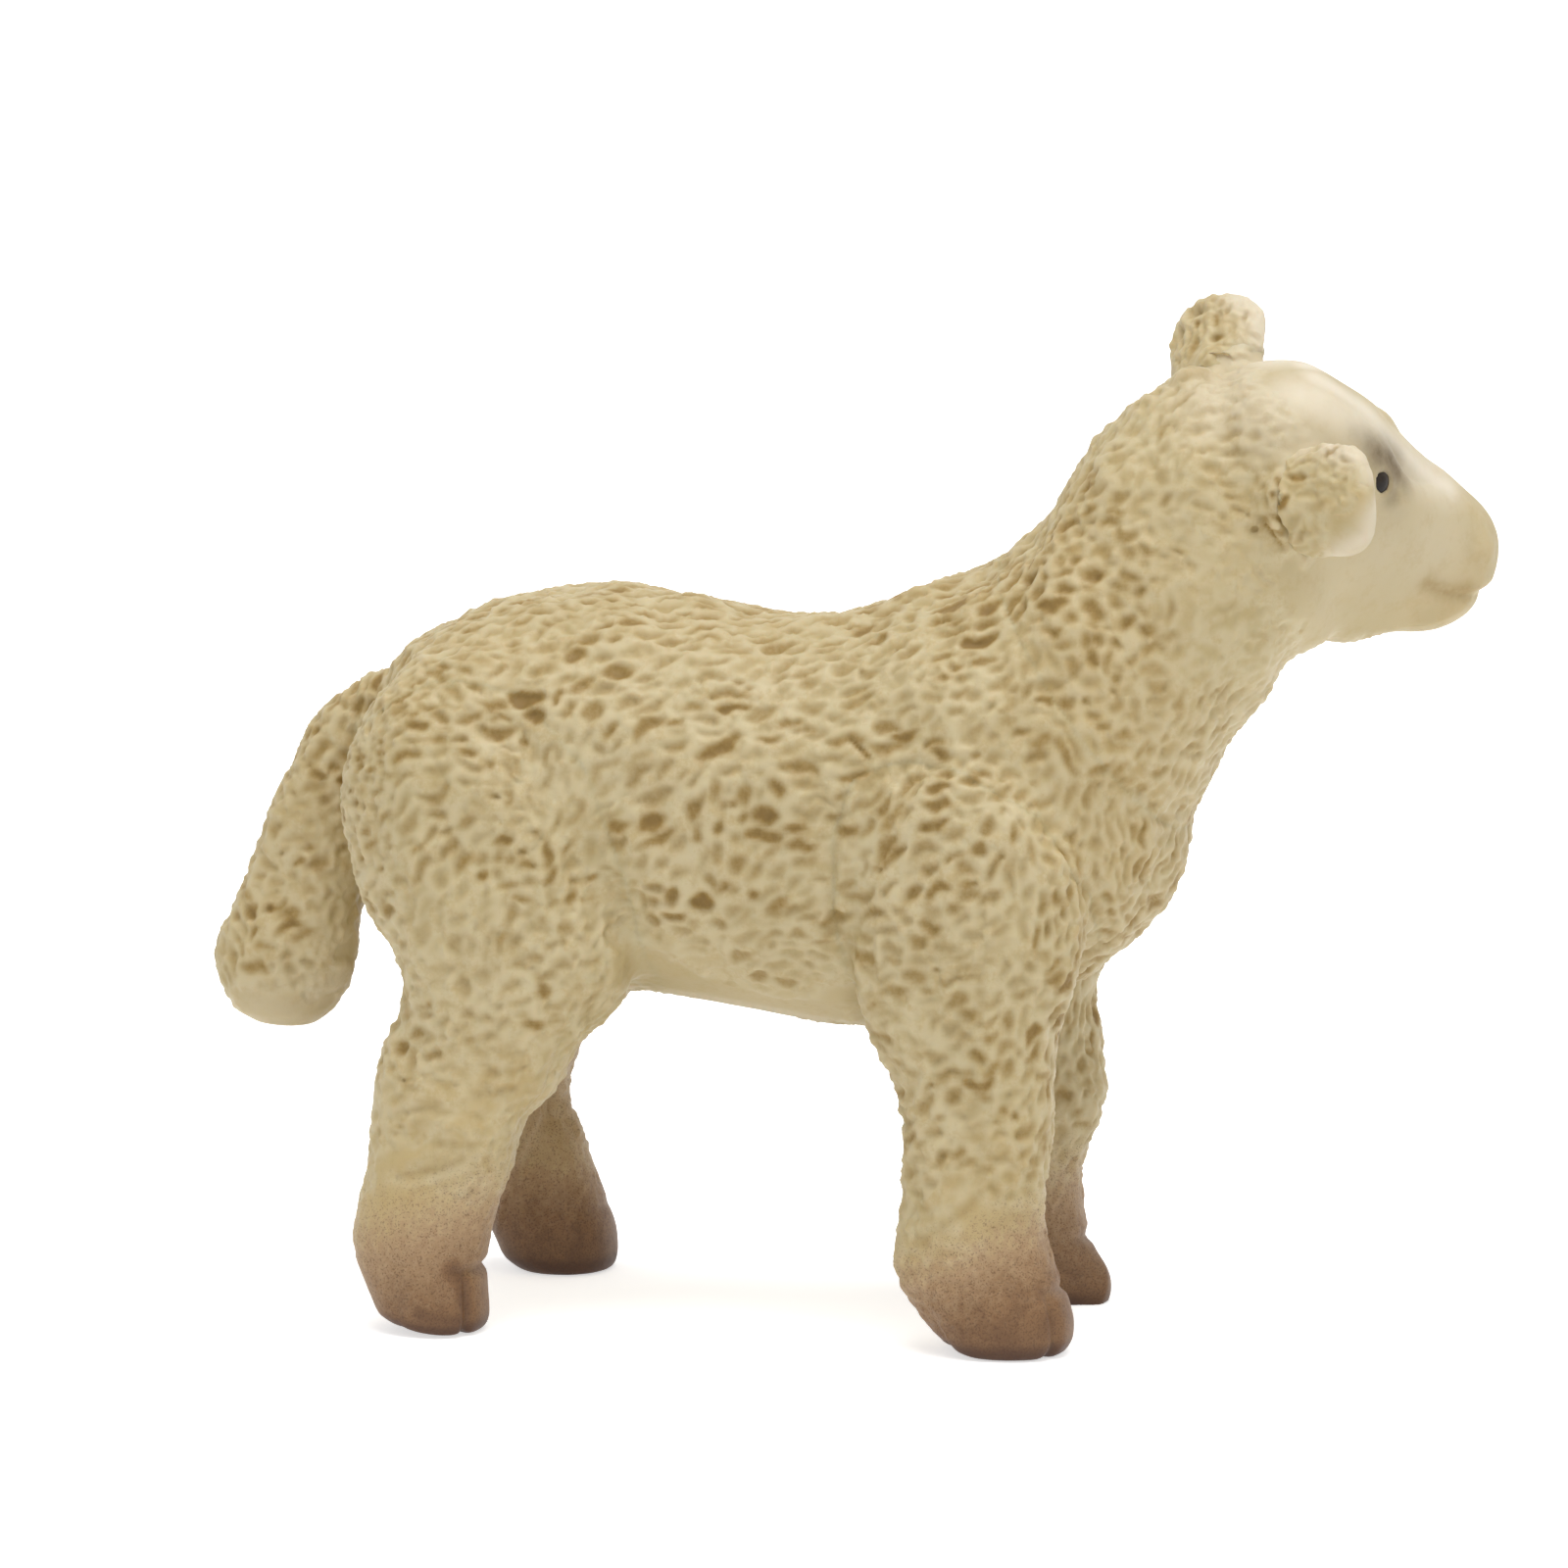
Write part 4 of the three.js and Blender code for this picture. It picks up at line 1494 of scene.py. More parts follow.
@dataclass
class Seam:
    """A glued seam between two castings, as a fine groove with a ragged edge."""

    one: str
    other: str
    depth: float
    width: float
    stain: float = 0.0
    grain: float = 0.6

    def carve(self, skin: Skin) -> None:
        """Cuts the groove."""
        fall = np.exp(-((skin.seam(self.one, self.other) / self.width) ** 2))
        fall *= 1.0 - self.grain * smooth_step(-0.5, 0.8, skin.rough)
        skin.lift -= self.depth * fall
        wash = skin.paint[Channel.WASH]
        np.maximum(wash, self.stain * fall, out=wash)


@dataclass
class Head(Casting):
    """The neck, the skull and the muzzle, with the sockets and lids of the eyes.

    Attributes:
        mouth_along, mouth_rise: The line of the mouth in the plane of the head, from its corner to the front.
        mouth_depth, mouth_width: The groove of the mouth.
        chin_back: How far the chin stands behind the nose.
        muzzle_reach: How far from between the eyes the muzzle goes.
        lid_radius, lid_width, lid_height: The ring round an eye.
        socket_radius, socket_depth: The dent that an eye sits in.
    """

    mouth_along: tuple[float, ...] = (4.6, 4.9, 5.6, 6.3, 6.7, 7.5)
    mouth_rise: tuple[float, ...] = (-2.65, -2.68, -2.6, -2.45, -2.3, -1.95)
    mouth_depth: float = 0.28
    mouth_width: float = 0.24
    chin_back: float = 0.26
    muzzle_reach: float = 10.5
    lid_radius: float = 0.68
    lid_width: float = 0.14
    lid_height: float = 0.05
    socket_radius: float = 0.62
    socket_depth: float = 0.45

    def carve(self, caster: Caster) -> None:
        """Adds the strokes of the face, the mouth and the two eyes.

        Args:
            caster: What casts the pixels.
        """
        super().carve(caster)
        skin, face = caster.skin, caster.face
        near = skin.cells.near(face.origin, self.muzzle_reach)
        along, _, rise = face.measures(skin.points[near])
        above = rise - np.interp(along, self.mouth_along, self.mouth_rise)
        front = smooth_step(self.mouth_along[1], self.mouth_along[-1], along)
        skin.lift[near] -= self.mouth_depth * np.exp(-((above / self.mouth_width) ** 2)) * front
        jaw = smooth_step(0.1, -0.4, above) * smooth_step(self.mouth_along[2], self.mouth_along[-1], along)
        skin.lift[near] -= self.chin_back * jaw
        for eye in (face.right_eye, face.left_eye):
            gap = np.linalg.norm(skin.points - eye + EYE_BACK * face.along + EYE_DROP * face.rise, axis=1)
            skin.lift += self.lid_height * np.exp(-(((gap - self.lid_radius) / self.lid_width) ** 2))
            skin.lift -= self.socket_depth * smooth_step(self.socket_radius, 0.8 * self.socket_radius, gap)


@dataclass
class Ear(Casting):
    """An ear, which is sculpted on a skin of its own because it only touches the head.

    Attributes:
        pits, bare: The wool of the ear and the pixels without wool.
        root: The pixel where the ear grows from the head.
        trim: The changes of its outline.
        root_sink, root_reach: How deep the ear sinks there, and how far from there it does.
        tip_grown, tip_start, tip_full: How much larger the tip is, and between which gaps from the root.
        fill_stain, pit_depth: How dark the pits in between are, and how deep a common pit is.
        cell: The side of a face of its first skin.
        rounds: How often its skin is smoothed.
    """

    pits: Marks = ()
    bare: tuple[Pixel, ...] = ()
    root: Pixel = (0.0, 0.0)
    trim: Trim = Trim(())
    root_sink: float = 0.25
    root_reach: float = 1.3
    tip_grown: float = 0.25
    tip_start: float = 0.9
    tip_full: float = 2.2
    fill_stain: float = 0.4
    pit_depth: float = 0.09
    cell: float = 0.15
    rounds: int = 40

    def make(self, view: PhotoView, face: Face) -> None:
        """Sculpts and dresses the ear.

        Args:
            view: Where the photograph was taken from.
            face: The plane of the head.
        """
        skin = SkinMaker(cell=self.cell, rounds=self.rounds, seed=SEED + 3).make([self.node])
        caster = Caster(skin, view, face)
        Fleece(self.pits, self.bare, mirror=False, fill_sizes=((0.8, 1.2),), fill_stain_share=self.fill_stain,
               fill_long=1.8, tuft=0.03, depth=self.pit_depth, ease=6).carve(caster)
        self.carve(caster)
        self.trim.apply(caster)
        found = caster.hit(self.root)
        root = caster.beside(self.root) if found is None else found[0]
        gap = np.linalg.norm(skin.points - root, axis=1)
        skin.lift += self.tip_grown * smooth_step(self.tip_start, self.tip_full, gap)
        skin.lift -= self.root_sink * smooth_step(self.root_reach, 0.0, gap)
        skin.press()
        self.build(Parting(skin))


@dataclass
class Leg(Casting):
    """A leg with its cloven hoof and the brown spray on its lower part.

    Attributes:
        spray_top: The height at the toe where the brown begins.
        spray_full: The height at the toe where it covers.
        spray_level: How dense it gets.
        heel_drop: How much lower the brown begins at the heel.
        hoof_top: The height of the line between the skin and the hoof.
        toe_drop: How much lower the line is at the toe.
        toe_turn: How far the toes turn outwards, in degrees.
        line_depth, line_width: The line round the hoof.
        notch: How much deeper that line is at the toe.
        cleft_width, cleft_depth: The split between the claws.
        edge: How much more brown lies along the edge of the sole.
        blush, blush_top: The least spray on the whole leg, partly painted shade where it is set, and the
            height where that begins.
        uneven, lump_span: How high the leg's small lumps are, and over which heights they begin.
        cleft_span: How far ahead of the hoof's middle the cleft begins and is full.
        edge_span: At which heights the brown of the sole's edge begins and is full.
    """

    spray_top: float = 6.0
    spray_full: float = 0.6
    spray_level: float = 1.0
    heel_drop: float = 3.0
    hoof_top: float = 3.1
    toe_drop: float = 0.6
    toe_turn: float = 40.0
    line_depth: float = 0.04
    line_width: float = 0.22
    notch: float = 0.2
    cleft_width: float = 0.22
    cleft_depth: float = 0.2
    edge: float = 0.6
    blush_and_shade: float = 0.0
    blush_top: float = 12.0
    uneven: float = 0.014
    lump_span: Span = (1.5, 4.0)
    cleft_span: Span = (0.4, 1.4)
    edge_span: Span = (0.9, 0.15)

    def carve(self, caster: Caster) -> None:
        """Adds the strokes, the hoof and the spray.

        Args:
            caster: What casts the pixels.
        """
        super().carve(caster)
        skin = caster.skin
        mine = np.flatnonzero(skin.owner() == skin.names.index(self.node))
        points, rough = skin.points[mine], skin.rough[mine]
        height = points[:, 2]
        hoof = points[height < self.hoof_top]
        low, high = hoof.min(axis=0), hoof.max(axis=0)
        middle = (low + high) / 2
        turn = math.radians(self.toe_turn) * math.copysign(1.0, middle[1])
        flat = points - middle
        ahead = flat[:, 0] * math.cos(turn) + flat[:, 1] * math.sin(turn)
        side = flat[:, 1] * math.cos(turn) - flat[:, 0] * math.sin(turn)
        forward = np.clip((points[:, 0] - low[0]) / (high[0] - low[0]), 0.0, 1.0)
        top = self.hoof_top - self.toe_drop * forward
        cleft = np.exp(-((side / self.cleft_width) ** 2)) * smooth_step(*self.cleft_span, ahead)
        cleft *= smooth_step(0.2, -0.6, height - top)
        line = np.exp(-(((height - top) / self.line_width) ** 2))
        line *= self.line_depth + self.notch * smooth_step(0.75, 1.0, forward)
        lumps = self.uneven * rough * smooth_step(*self.lump_span, height)
        skin.lift[mine] += lumps - self.cleft_depth * cleft - line
        level = height + self.heel_drop * (1.0 - forward) + 0.2 * rough
        spray = self.spray_level * smooth_step(self.spray_top, self.spray_full, level)
        spray += self.edge * smooth_step(*self.edge_span, height)
        # The least spray over the whole leg, which on the far hind leg is partly painted shade.
        spray = np.maximum(spray, self.blush_and_shade * smooth_step(self.blush_top, 0.8 * self.blush_top, height))
        dust = skin.paint[Channel.DUST]
        dust[mine] = np.maximum(dust[mine], spray)


@dataclass
class EyeBead:
    """A drop of black lacquer in its socket, turned from a profile about the way that the eye looks.

    Attributes:
        node: The eye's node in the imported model.
        finish: The lacquer.
        sides: The number of points round the bead.
        radius_share: How much of the casting's radius isn't under the lid.
        out: How far the bead sits outside the casting's.
        profile_shares: Places from the rim to the crown, as shares of the radius and of the height.
    """

    node: str
    finish: GlossLacquer
    sides: int = 20
    radius_share: float = 0.98
    out: float = 0.08
    profile_shares: tuple[tuple[float, float], ...] = (
        (0.55, 0.0), (0.94, 0.04), (1.0, 0.2), (0.93, 0.5), (0.74, 0.78), (0.42, 0.95), (0.14, 1.0),
    )

    def measure(self) -> tuple[Array, Array, float, float]:
        """Reads the node.

        Returns:
            The middle of its flat back, the way that it looks, its radius and its height.
        """
        shell = bmesh.new()
        shell.from_mesh(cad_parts[self.node].data)
        bmesh.ops.triangulate(shell, faces=shell.faces)
        shell.normal_update()
        normals = np.array([face.normal for face in shell.faces])
        areas = np.array([face.calc_area() for face in shell.faces])
        points = np.array([vertex.co for vertex in shell.verts]) / MM
        shell.free()
        alike = (normals @ normals.T > 0.999) @ areas
        way = -normals[np.argmax(alike)]
        heights = points @ way
        back = points[heights < heights.min() + 0.01].mean(axis=0)
        across = points - back
        across = across - (across @ way)[:, None] * way
        radius = float(np.linalg.norm(across, axis=1).max()) * self.radius_share
        return back, way, radius, float(np.ptp(heights))

    def build(self, face: Face) -> None:
        """Turns the profile, smooths it and dresses the bead.

        Args:
            face: The plane of the head.
        """
        back, way, radius, height = self.measure()
        back = back - EYE_BACK * face.along - EYE_DROP * face.rise + self.out * way
        side = unit(np.cross(way, np.array([0.0, 0.0, 1.0])))
        rise = np.cross(side, way)
        bead = bmesh.new()
        rings = []
        turns = np.linspace(0.0, 2 * math.pi, self.sides, endpoint=False)
        for out, up in self.profile_shares:
            ring = [
                back + radius * out * (math.cos(turn) * side + math.sin(turn) * rise) + height * up * way
                for turn in turns
            ]
            rings.append([bead.verts.new(place * MM) for place in ring])
        for lower, upper in zip(rings, rings[1:]):
            for place in range(self.sides):
                after = (place + 1) % self.sides
                bead.faces.new((lower[place], lower[after], upper[after], upper[place]))
        bead.faces.new(rings[0][::-1])
        bead.faces.new(rings[-1])
        bmesh.ops.recalc_face_normals(bead, faces=bead.faces)
        mesh = bpy.data.meshes.new("bead")
        bead.to_mesh(mesh)
        bead.free()
        smooth = modified(mesh, "SUBSURF", levels=2, render_levels=2)
        smooth.polygons.foreach_set("use_smooth", np.ones(len(smooth.polygons), dtype=bool))
        smooth.name = f"{self.node}_bead"
        dress(linked(smooth.name, smooth), self.node, self.finish)


@dataclass(frozen=True)
class Lamp:
    """A square soft lamp that points at the lamb.

    Attributes:
        name: Its name.
        power: Its power in watts.
        size: Its side in millimetres.
        place: Where it hangs, in millimetres.
        aim: The height that it points at.
    """

    name: str
    power: float
    size: float
    place: tuple[float, float, float]
    aim: float = 20.0

    def hang(self) -> None:
        """Makes the lamp."""
        data = bpy.data.lights.new(self.name, "AREA")
        data.shape = "SQUARE"
        data.size = self.size * MM
        data.energy = self.power
        made = bpy.data.objects.new(self.name, data)
        made.location = Vector(self.place) * MM
        aim = Vector((0.0, 0.0, self.aim)) * MM - made.location
        made.rotation_mode = "QUATERNION"
        made.rotation_quaternion = aim.to_track_quat("-Z", "Y")
        bpy.context.scene.collection.objects.link(made)


@dataclass(frozen=True)
class Studio:
    """The pale floor, the soft lamps and the white surround.

    Attributes:
        floor_side: The side of the floor in millimetres.
        floor_grey: How pale the floor is.
        floor_glow: What is added to the floor where it is looked at, so that it shows white.
        floor_shine: How much light the floor gives by itself, which fills the shade under the lamb.
        sky: The level of the light from all round.
        lamps: The lamps.
    """

    floor_side: float = 3000.0
    floor_grey: float = 0.92
    floor_glow: float = 0.5
    floor_shine: float = 0.1
    sky: float = 0.51
    lamps: tuple[Lamp, ...] = (
        Lamp("key_lamp", 2.45, 420.0, (60.0, -120.0, 600.0)),
        Lamp("fill_lamp", 0.12, 420.0, (420.0, -260.0, 180.0)),
        Lamp("low_lamp", 0.06, 300.0, (40.0, -420.0, 30.0)),
    )

    def seen(self, sheet: Sheet) -> Wire:
        """Gives 1 for what the camera sees, straight, in gloss or through glass."""
        path = sheet.node("ShaderNodeLightPath")
        rays = [Wire(sheet, path.outputs[f"Is {kind} Ray"]) for kind in ("Camera", "Glossy", "Transmission")]
        return sheet.maths("MAXIMUM", sheet.maths("MAXIMUM", rays[0], rays[1]), rays[2])

    def floor(self) -> None:
        """Makes the floor."""
        ground = bmesh.new()
        bmesh.ops.create_grid(ground, x_segments=4, y_segments=4, size=self.floor_side * MM / 2)
        mesh = bpy.data.meshes.new("studio_floor")
        ground.to_mesh(mesh)
        ground.free()
        sheet = Sheet(bpy.data.materials.new("studio_paper"))
        grey = (self.floor_grey,) * 3 + (1.0,)
        strength = self.seen(sheet) * self.floor_glow + self.floor_shine
        paper = sheet.wire(0, "ShaderNodeBsdfDiffuse", inputs={"Color": grey, "Roughness": 0.0})
        glow = sheet.wire(0, "ShaderNodeEmission", inputs={"Color": WHITE, "Strength": strength})
        mesh.materials.append(sheet.finish(sheet.wire(0, "ShaderNodeAddShader", inputs={0: paper, 1: glow})))
        linked("studio_floor", mesh)

    def surround(self) -> None:
        """Lights the lamb from all round and shows white behind it."""
        sheet = Sheet(bpy.data.worlds.new("studio"))
        level = self.seen(sheet) * (1.0 - self.sky) + self.sky
        light = sheet.wire(0, "ShaderNodeBackground", inputs={"Color": WHITE, "Strength": level})
        bpy.context.scene.world = sheet.finish(light, "World")

    def build(self) -> None:
        """Sets everything up."""
        self.floor()
        for lamp in self.lamps:
            lamp.hang()
        self.surround()
        bpy.context.scene.view_settings.view_transform = "Standard"


BODY_PITS = (
    (742, 707, 8, 56, 11, .7), (764, 703, 10, 10, 8, 1), (734, 762, 32, 56, 14, .9),
    (785, 755, 10, 26, 14, .8), (820, 783, -15, 45, 16, .7), (794, 806, -35, 28, 18, .8),
    (758, 810, 75, 20, 12, .8), (782, 832, -10, 34, 16, 1), (735, 824, 80, 16, 12, .8),
    (707, 822, 65, 38, 14, .8), (664, 837, 20, 34, 18, 1), (632, 861, 30, 26, 14, .6),
    (751, 856, -10, 24, 12, .6), (731, 872, 75, 20, 12, .6), (750, 880, 50, 24, 14, .7),
    (771, 891, 50, 26, 14, .6), (677, 881, 45, 20, 12, .5), (685, 913, 0, 18, 18, .9),
    (715, 920, -40, 26, 22, 1), (667, 935, 80, 16, 14, .6), (710, 942, 0, 16, 12, .5),
    (735, 942, 30, 16, 12, .6), (760, 956, 25, 30, 10, .4), (791, 985, 0, 22, 20, .4),
    (823, 987, 0, 12, 10, .6), (635, 900, 0, 8, 8, .5), (621, 905, 0, 8, 6, .5), (633, 940, 0, 8, 8, .4),
    (560, 876, 68, 34, 8, .9), (629, 685, 5, 30, 18, .8), (659, 690, 25, 30, 12, .6),
    (600, 653, 20, 24, 18, .7), (571, 631, -15, 16, 8, .6), (616, 629, 0, 10, 6, .6),
    (681, 629, 0, 26, 14, .6), (664, 649, 10, 34, 12, .5), (552, 684, 10, 26, 14, .5),
    (525, 684, 55, 24, 9, .4), (508, 672, -10, 14, 9, .7), (490, 658, 10, 20, 10, .5),
    (549, 645, 20, 20, 14, .4), (485, 704, -25, 26, 12, .6), (461, 708, -40, 24, 10, .5),
    (409, 723, 30, 20, 9, .6), (401, 711, 40, 12, 8, .5), (449, 733, -10, 26, 12, .7),
    (482, 733, 15, 30, 12, .7), (447, 755, 0, 16, 10, .7), (470, 753, 10, 22, 10, .7),
    (508, 747, 5, 44, 16, .8), (546, 731, -15, 26, 16, 1), (579, 725, 60, 22, 14, .7),
    (606, 727, 50, 34, 16, .7), (645, 717, 20, 34, 12, .6), (661, 743, 38, 44, 16, .8),
    (720, 733, 0, 26, 14, .5), (699, 698, -10, 34, 14, .4), (705, 663, 10, 28, 12, .5),
    (740, 660, 8, 36, 10, .4), (772, 687, 35, 22, 12, .4), (795, 692, 40, 26, 10, .7),
    (826, 723, 0, 30, 16, .5), (777, 727, 15, 34, 14, .6), (823, 698, 20, 26, 14, .5),
    (814, 663, 15, 30, 12, .5), (833, 752, 10, 28, 10, .5), (747, 787, 15, 30, 12, .5),
    (688, 762, 10, 26, 12, .6), (680, 787, 50, 34, 12, .6), (610, 763, 50, 20, 12, .6),
    (568, 762, 65, 14, 9, .7), (586, 773, 60, 14, 10, .5), (544, 765, 80, 24, 8, .6),
    (559, 797, 65, 30, 9, .5), (543, 819, -75, 34, 9, .5), (500, 781, 0, 14, 12, .9),
    (520, 786, -35, 30, 10, .5), (479, 800, -20, 26, 9, .4), (504, 814, 0, 12, 8, .7),
    (519, 816, 0, 12, 8, .7), (487, 821, -20, 20, 8, .5), (528, 838, 5, 26, 8, .4),
    (444, 787, 10, 34, 12, .4), (447, 829, 20, 26, 14, .7), (409, 826, 65, 34, 12, .4),
    (476, 841, 30, 30, 12, .6), (439, 851, 45, 18, 12, .6), (412, 862, 20, 24, 12, .4),
    (488, 878, 50, 20, 12, .6), (523, 877, 0, 12, 10, .8), (536, 867, 60, 16, 10, .8),
    (544, 853, 60, 12, 8, .7), (509, 889, 0, 14, 10, .6), (431, 886, 60, 34, 14, .6),
    (450, 899, 60, 24, 14, .4), (407, 899, 0, 16, 12, .5), (617, 805, 35, 44, 10, .4),
    (600, 867, 75, 26, 10, .4), (584, 915, 0, 14, 12, .9), (568, 923, 20, 16, 8, .7),
    (522, 934, 45, 20, 14, .6), (575, 947, 0, 26, 14, .6), (573, 964, 0, 10, 10, .9),
    (586, 975, 0, 12, 8, .6), (546, 975, -10, 22, 10, .6), (525, 963, 70, 26, 12, .5),
    (472, 910, 50, 20, 12, .3), (466, 937, 60, 22, 12, .3), (449, 921, 60, 20, 12, .3),
    (555, 1014, 10, 24, 9, .8), (590, 1007, 30, 18, 8, .5), (578, 985, 20, 26, 10, .5),
    (493, 998, 90, 20, 14, .4), (514, 1039, 0, 14, 8, .6), (479, 1033, 0, 20, 14, .6),
    (437, 1036, 20, 18, 8, .6), (412, 1068, 80, 16, 14, .9), (427, 995, 0, 20, 12, .3),
    (606, 943, 40, 20, 8, .4), (540, 899, 0, 20, 10, .6),
)

NECK_PITS = (
    (898, 650, 35, 30, 14, .9), (925, 668, 35, 30, 13, .7), (877, 712, 25, 40, 13, .7),
    (904, 741, 5, 26, 16, .9), (907, 765, 2, 44, 12, .8), (860, 684, 0, 20, 12, .6),
    (883, 687, 10, 22, 12, .7), (963, 631, 15, 32, 12, .9), (931, 631, 0, 14, 14, .6),
    (1006, 636, 10, 28, 12, 1), (1030, 617, 60, 28, 12, .9), (1022, 578, 45, 20, 10, .6),
    (1051, 556, 60, 14, 8, .8), (1080, 573, 0, 14, 14, .7), (1096, 572, 0, 14, 12, .9),
    (1113, 586, 5, 26, 16, 1), (1060, 604, 0, 14, 14, .9), (1086, 602, 0, 24, 14, 1),
    (1150, 567, 0, 20, 16, .7), (1153, 589, -10, 24, 12, .8), (1164, 604, -60, 20, 14, .9),
    (1175, 589, 0, 14, 10, .6), (1137, 613, -15, 22, 12, .7), (1116, 624, -30, 24, 18, 1),
    (1094, 632, 90, 18, 14, .8), (1060, 631, 0, 18, 14, .6), (1151, 636, 0, 20, 18, 1),
    (1169, 642, 10, 26, 16, .8), (1182, 626, 90, 20, 12, .4), (1086, 658, -5, 22, 14, .7),
    (1107, 656, 90, 14, 12, .9), (1121, 653, 0, 14, 12, 1), (1137, 658, 90, 14, 12, .8),
    (1054, 668, 90, 36, 14, .5), (1094, 683, 90, 26, 16, .7), (1089, 719, 0, 18, 14, .9),
    (1115, 731, 0, 14, 14, .7), (1135, 701, 0, 8, 8, .7), (1115, 699, 0, 20, 14, .4),
    (981, 691, 10, 20, 14, .7), (939, 696, 60, 16, 10, .6), (954, 712, 0, 24, 10, .6),
    (919, 715, 30, 24, 12, .5), (946, 730, 50, 22, 12, .6), (994, 711, 40, 22, 14, .6),
    (995, 750, 50, 34, 16, .5), (1009, 754, 0, 14, 12, .5), (1016, 774, 10, 22, 16, .6),
    (1057, 770, 20, 26, 12, .8), (1030, 792, 15, 26, 12, .6), (990, 797, 0, 20, 13, .8),
    (976, 779, 0, 12, 12, .7), (1072, 790, 0, 16, 16, .5), (1043, 813, 30, 20, 14, .7),
    (925, 798, 45, 40, 12, .8), (903, 824, 55, 30, 12, .9), (887, 846, 40, 24, 12, .8),
    (962, 792, -5, 24, 12, .9), (955, 821, -12, 34, 14, 1), (933, 805, 50, 26, 9, .7),
    (906, 862, 50, 44, 14, .9), (885, 889, 60, 16, 14, .8), (973, 854, 25, 26, 14, .7),
    (1008, 843, 60, 18, 18, .8), (978, 833, 5, 22, 9, .6), (1041, 841, -70, 16, 9, .8),
    (1067, 843, 0, 26, 18, .5), (1096, 853, 80, 16, 12, .8), (1118, 862, 90, 18, 14, .5),
    (949, 888, 35, 22, 14, .8), (930, 912, 40, 28, 13, .9), (982, 888, 15, 26, 14, .7),
    (1011, 916, 20, 28, 13, .7), (950, 928, 0, 20, 12, .5), (925, 939, 0, 18, 12, .7),
    (890, 931, -5, 30, 12, .8), (936, 961, 0, 22, 14, .8), (879, 958, 0, 22, 12, .6),
    (979, 939, 0, 16, 14, .6), (995, 955, 20, 24, 12, .5), (1045, 888, 85, 34, 12, .5),
    (1070, 878, -50, 20, 14, .7), (1078, 916, 90, 16, 14, .9), (1048, 907, 85, 26, 14, .5),
    (1069, 948, 85, 24, 8, .8), (1107, 907, -80, 30, 10, .6), (1081, 961, 80, 22, 8, .6),
    (1110, 811, 65, 28, 10, .7), (1091, 811, 70, 30, 10, .5), (1127, 824, 85, 20, 8, .6),
    (1137, 763, 0, 24, 16, .5), (1177, 766, 60, 16, 10, .6), (1172, 744, 0, 20, 16, .3),
    (1226, 744, 45, 20, 12, .7), (1207, 741, 65, 18, 8, .5), (1194, 763, 30, 20, 14, .4),
    (1220, 770, 15, 26, 10, .5), (1182, 790, 15, 20, 12, .7), (1164, 805, 0, 14, 14, .7),
    (1204, 795, 80, 16, 9, .5), (1175, 821, 0, 14, 12, .6), (1188, 837, 10, 22, 14, .5),
    (1198, 853, 80, 24, 8, .7), (1148, 872, 85, 24, 9, .7), (1164, 884, 80, 30, 10, .8),
    (1150, 926, 0, 12, 12, .6), (1134, 846, -70, 34, 8, .4), (1096, 763, -60, 34, 9, .6),
    (931, 996, 0, 26, 14, .8), (987, 987, 8, 34, 9, .5), (920, 1022, 5, 26, 9, .5),
    (1025, 987, 85, 24, 8, .5), (1008, 979, 0, 16, 10, .5), (1051, 987, 0, 14, 12, .6),
    (864, 875, 0, 10, 10, .5),
)

LEG_PITS = (
    (989, 1036, 20, 20, 16, .8), (1029, 1043, 75, 24, 10, .8), (1011, 1022, 20, 22, 12, .6),
    (971, 1048, 45, 20, 12, .5), (993, 1060, 0, 12, 10, .7), (998, 1078, -10, 18, 16, 1),
    (1039, 1074, 20, 18, 14, .7), (950, 1079, -20, 30, 14, .6), (1029, 1089, 60, 26, 14, .7),
    (1052, 1096, 40, 18, 14, .6), (975, 1096, 3, 44, 10, .8), (941, 1128, 35, 26, 14, .7),
    (971, 1120, 50, 30, 14, .8), (1002, 1119, 10, 24, 10, .8), (927, 1117, 0, 12, 12, .5),
    (1034, 1139, 0, 10, 8, .8), (1047, 1154, 35, 30, 14, .7), (1054, 1138, 80, 26, 9, .4),
    (951, 1156, 0, 18, 14, .6), (992, 1149, 15, 22, 10, .4), (994, 1163, 15, 26, 9, .5),
    (960, 1182, 50, 22, 12, .8), (929, 1196, 45, 20, 9, .6), (950, 1208, 0, 14, 12, .5),
    (934, 1217, 0, 16, 9, .4), (1027, 1201, 0, 14, 14, .4), (932, 1285, 0, 22, 9, .3),
    (1080, 1033, 40, 24, 14, .8), (1096, 1048, 70, 26, 12, .7), (1071, 1077, 90, 18, 12, .9),
    (1107, 1087, 0, 18, 16, .7), (1087, 1116, 90, 18, 16, .9), (1099, 1133, 45, 20, 9, .7),
    (1118, 1117, 60, 16, 9, .5), (1082, 1153, 0, 20, 14, .5), (1087, 1179, 60, 20, 9, .5),
    (437, 1059, 15, 24, 10, .6), (451, 1054, 0, 9, 8, .8), (443, 1075, 5, 26, 10, .8),
    (459, 1074, 0, 12, 9, .4), (488, 1075, 0, 18, 12, .5), (457, 1087, 5, 26, 9, .5),
    (470, 1094, -10, 22, 9, .4), (503, 1096, 10, 24, 10, .6), (524, 1093, 10, 26, 9, .4),
    (404, 1089, 0, 9, 9, .6), (452, 1106, -5, 34, 12, .5), (409, 1122, -3, 26, 9, .4),
    (437, 1125, 0, 26, 9, .4), (483, 1139, -5, 26, 9, .4), (409, 1147, -5, 16, 6, .7),
    (429, 1147, 0, 20, 9, .4), (387, 1157, 0, 9, 9, .5), (479, 1176, 0, 8, 4, .6), (439, 1195, 3, 24, 8, .4),
)

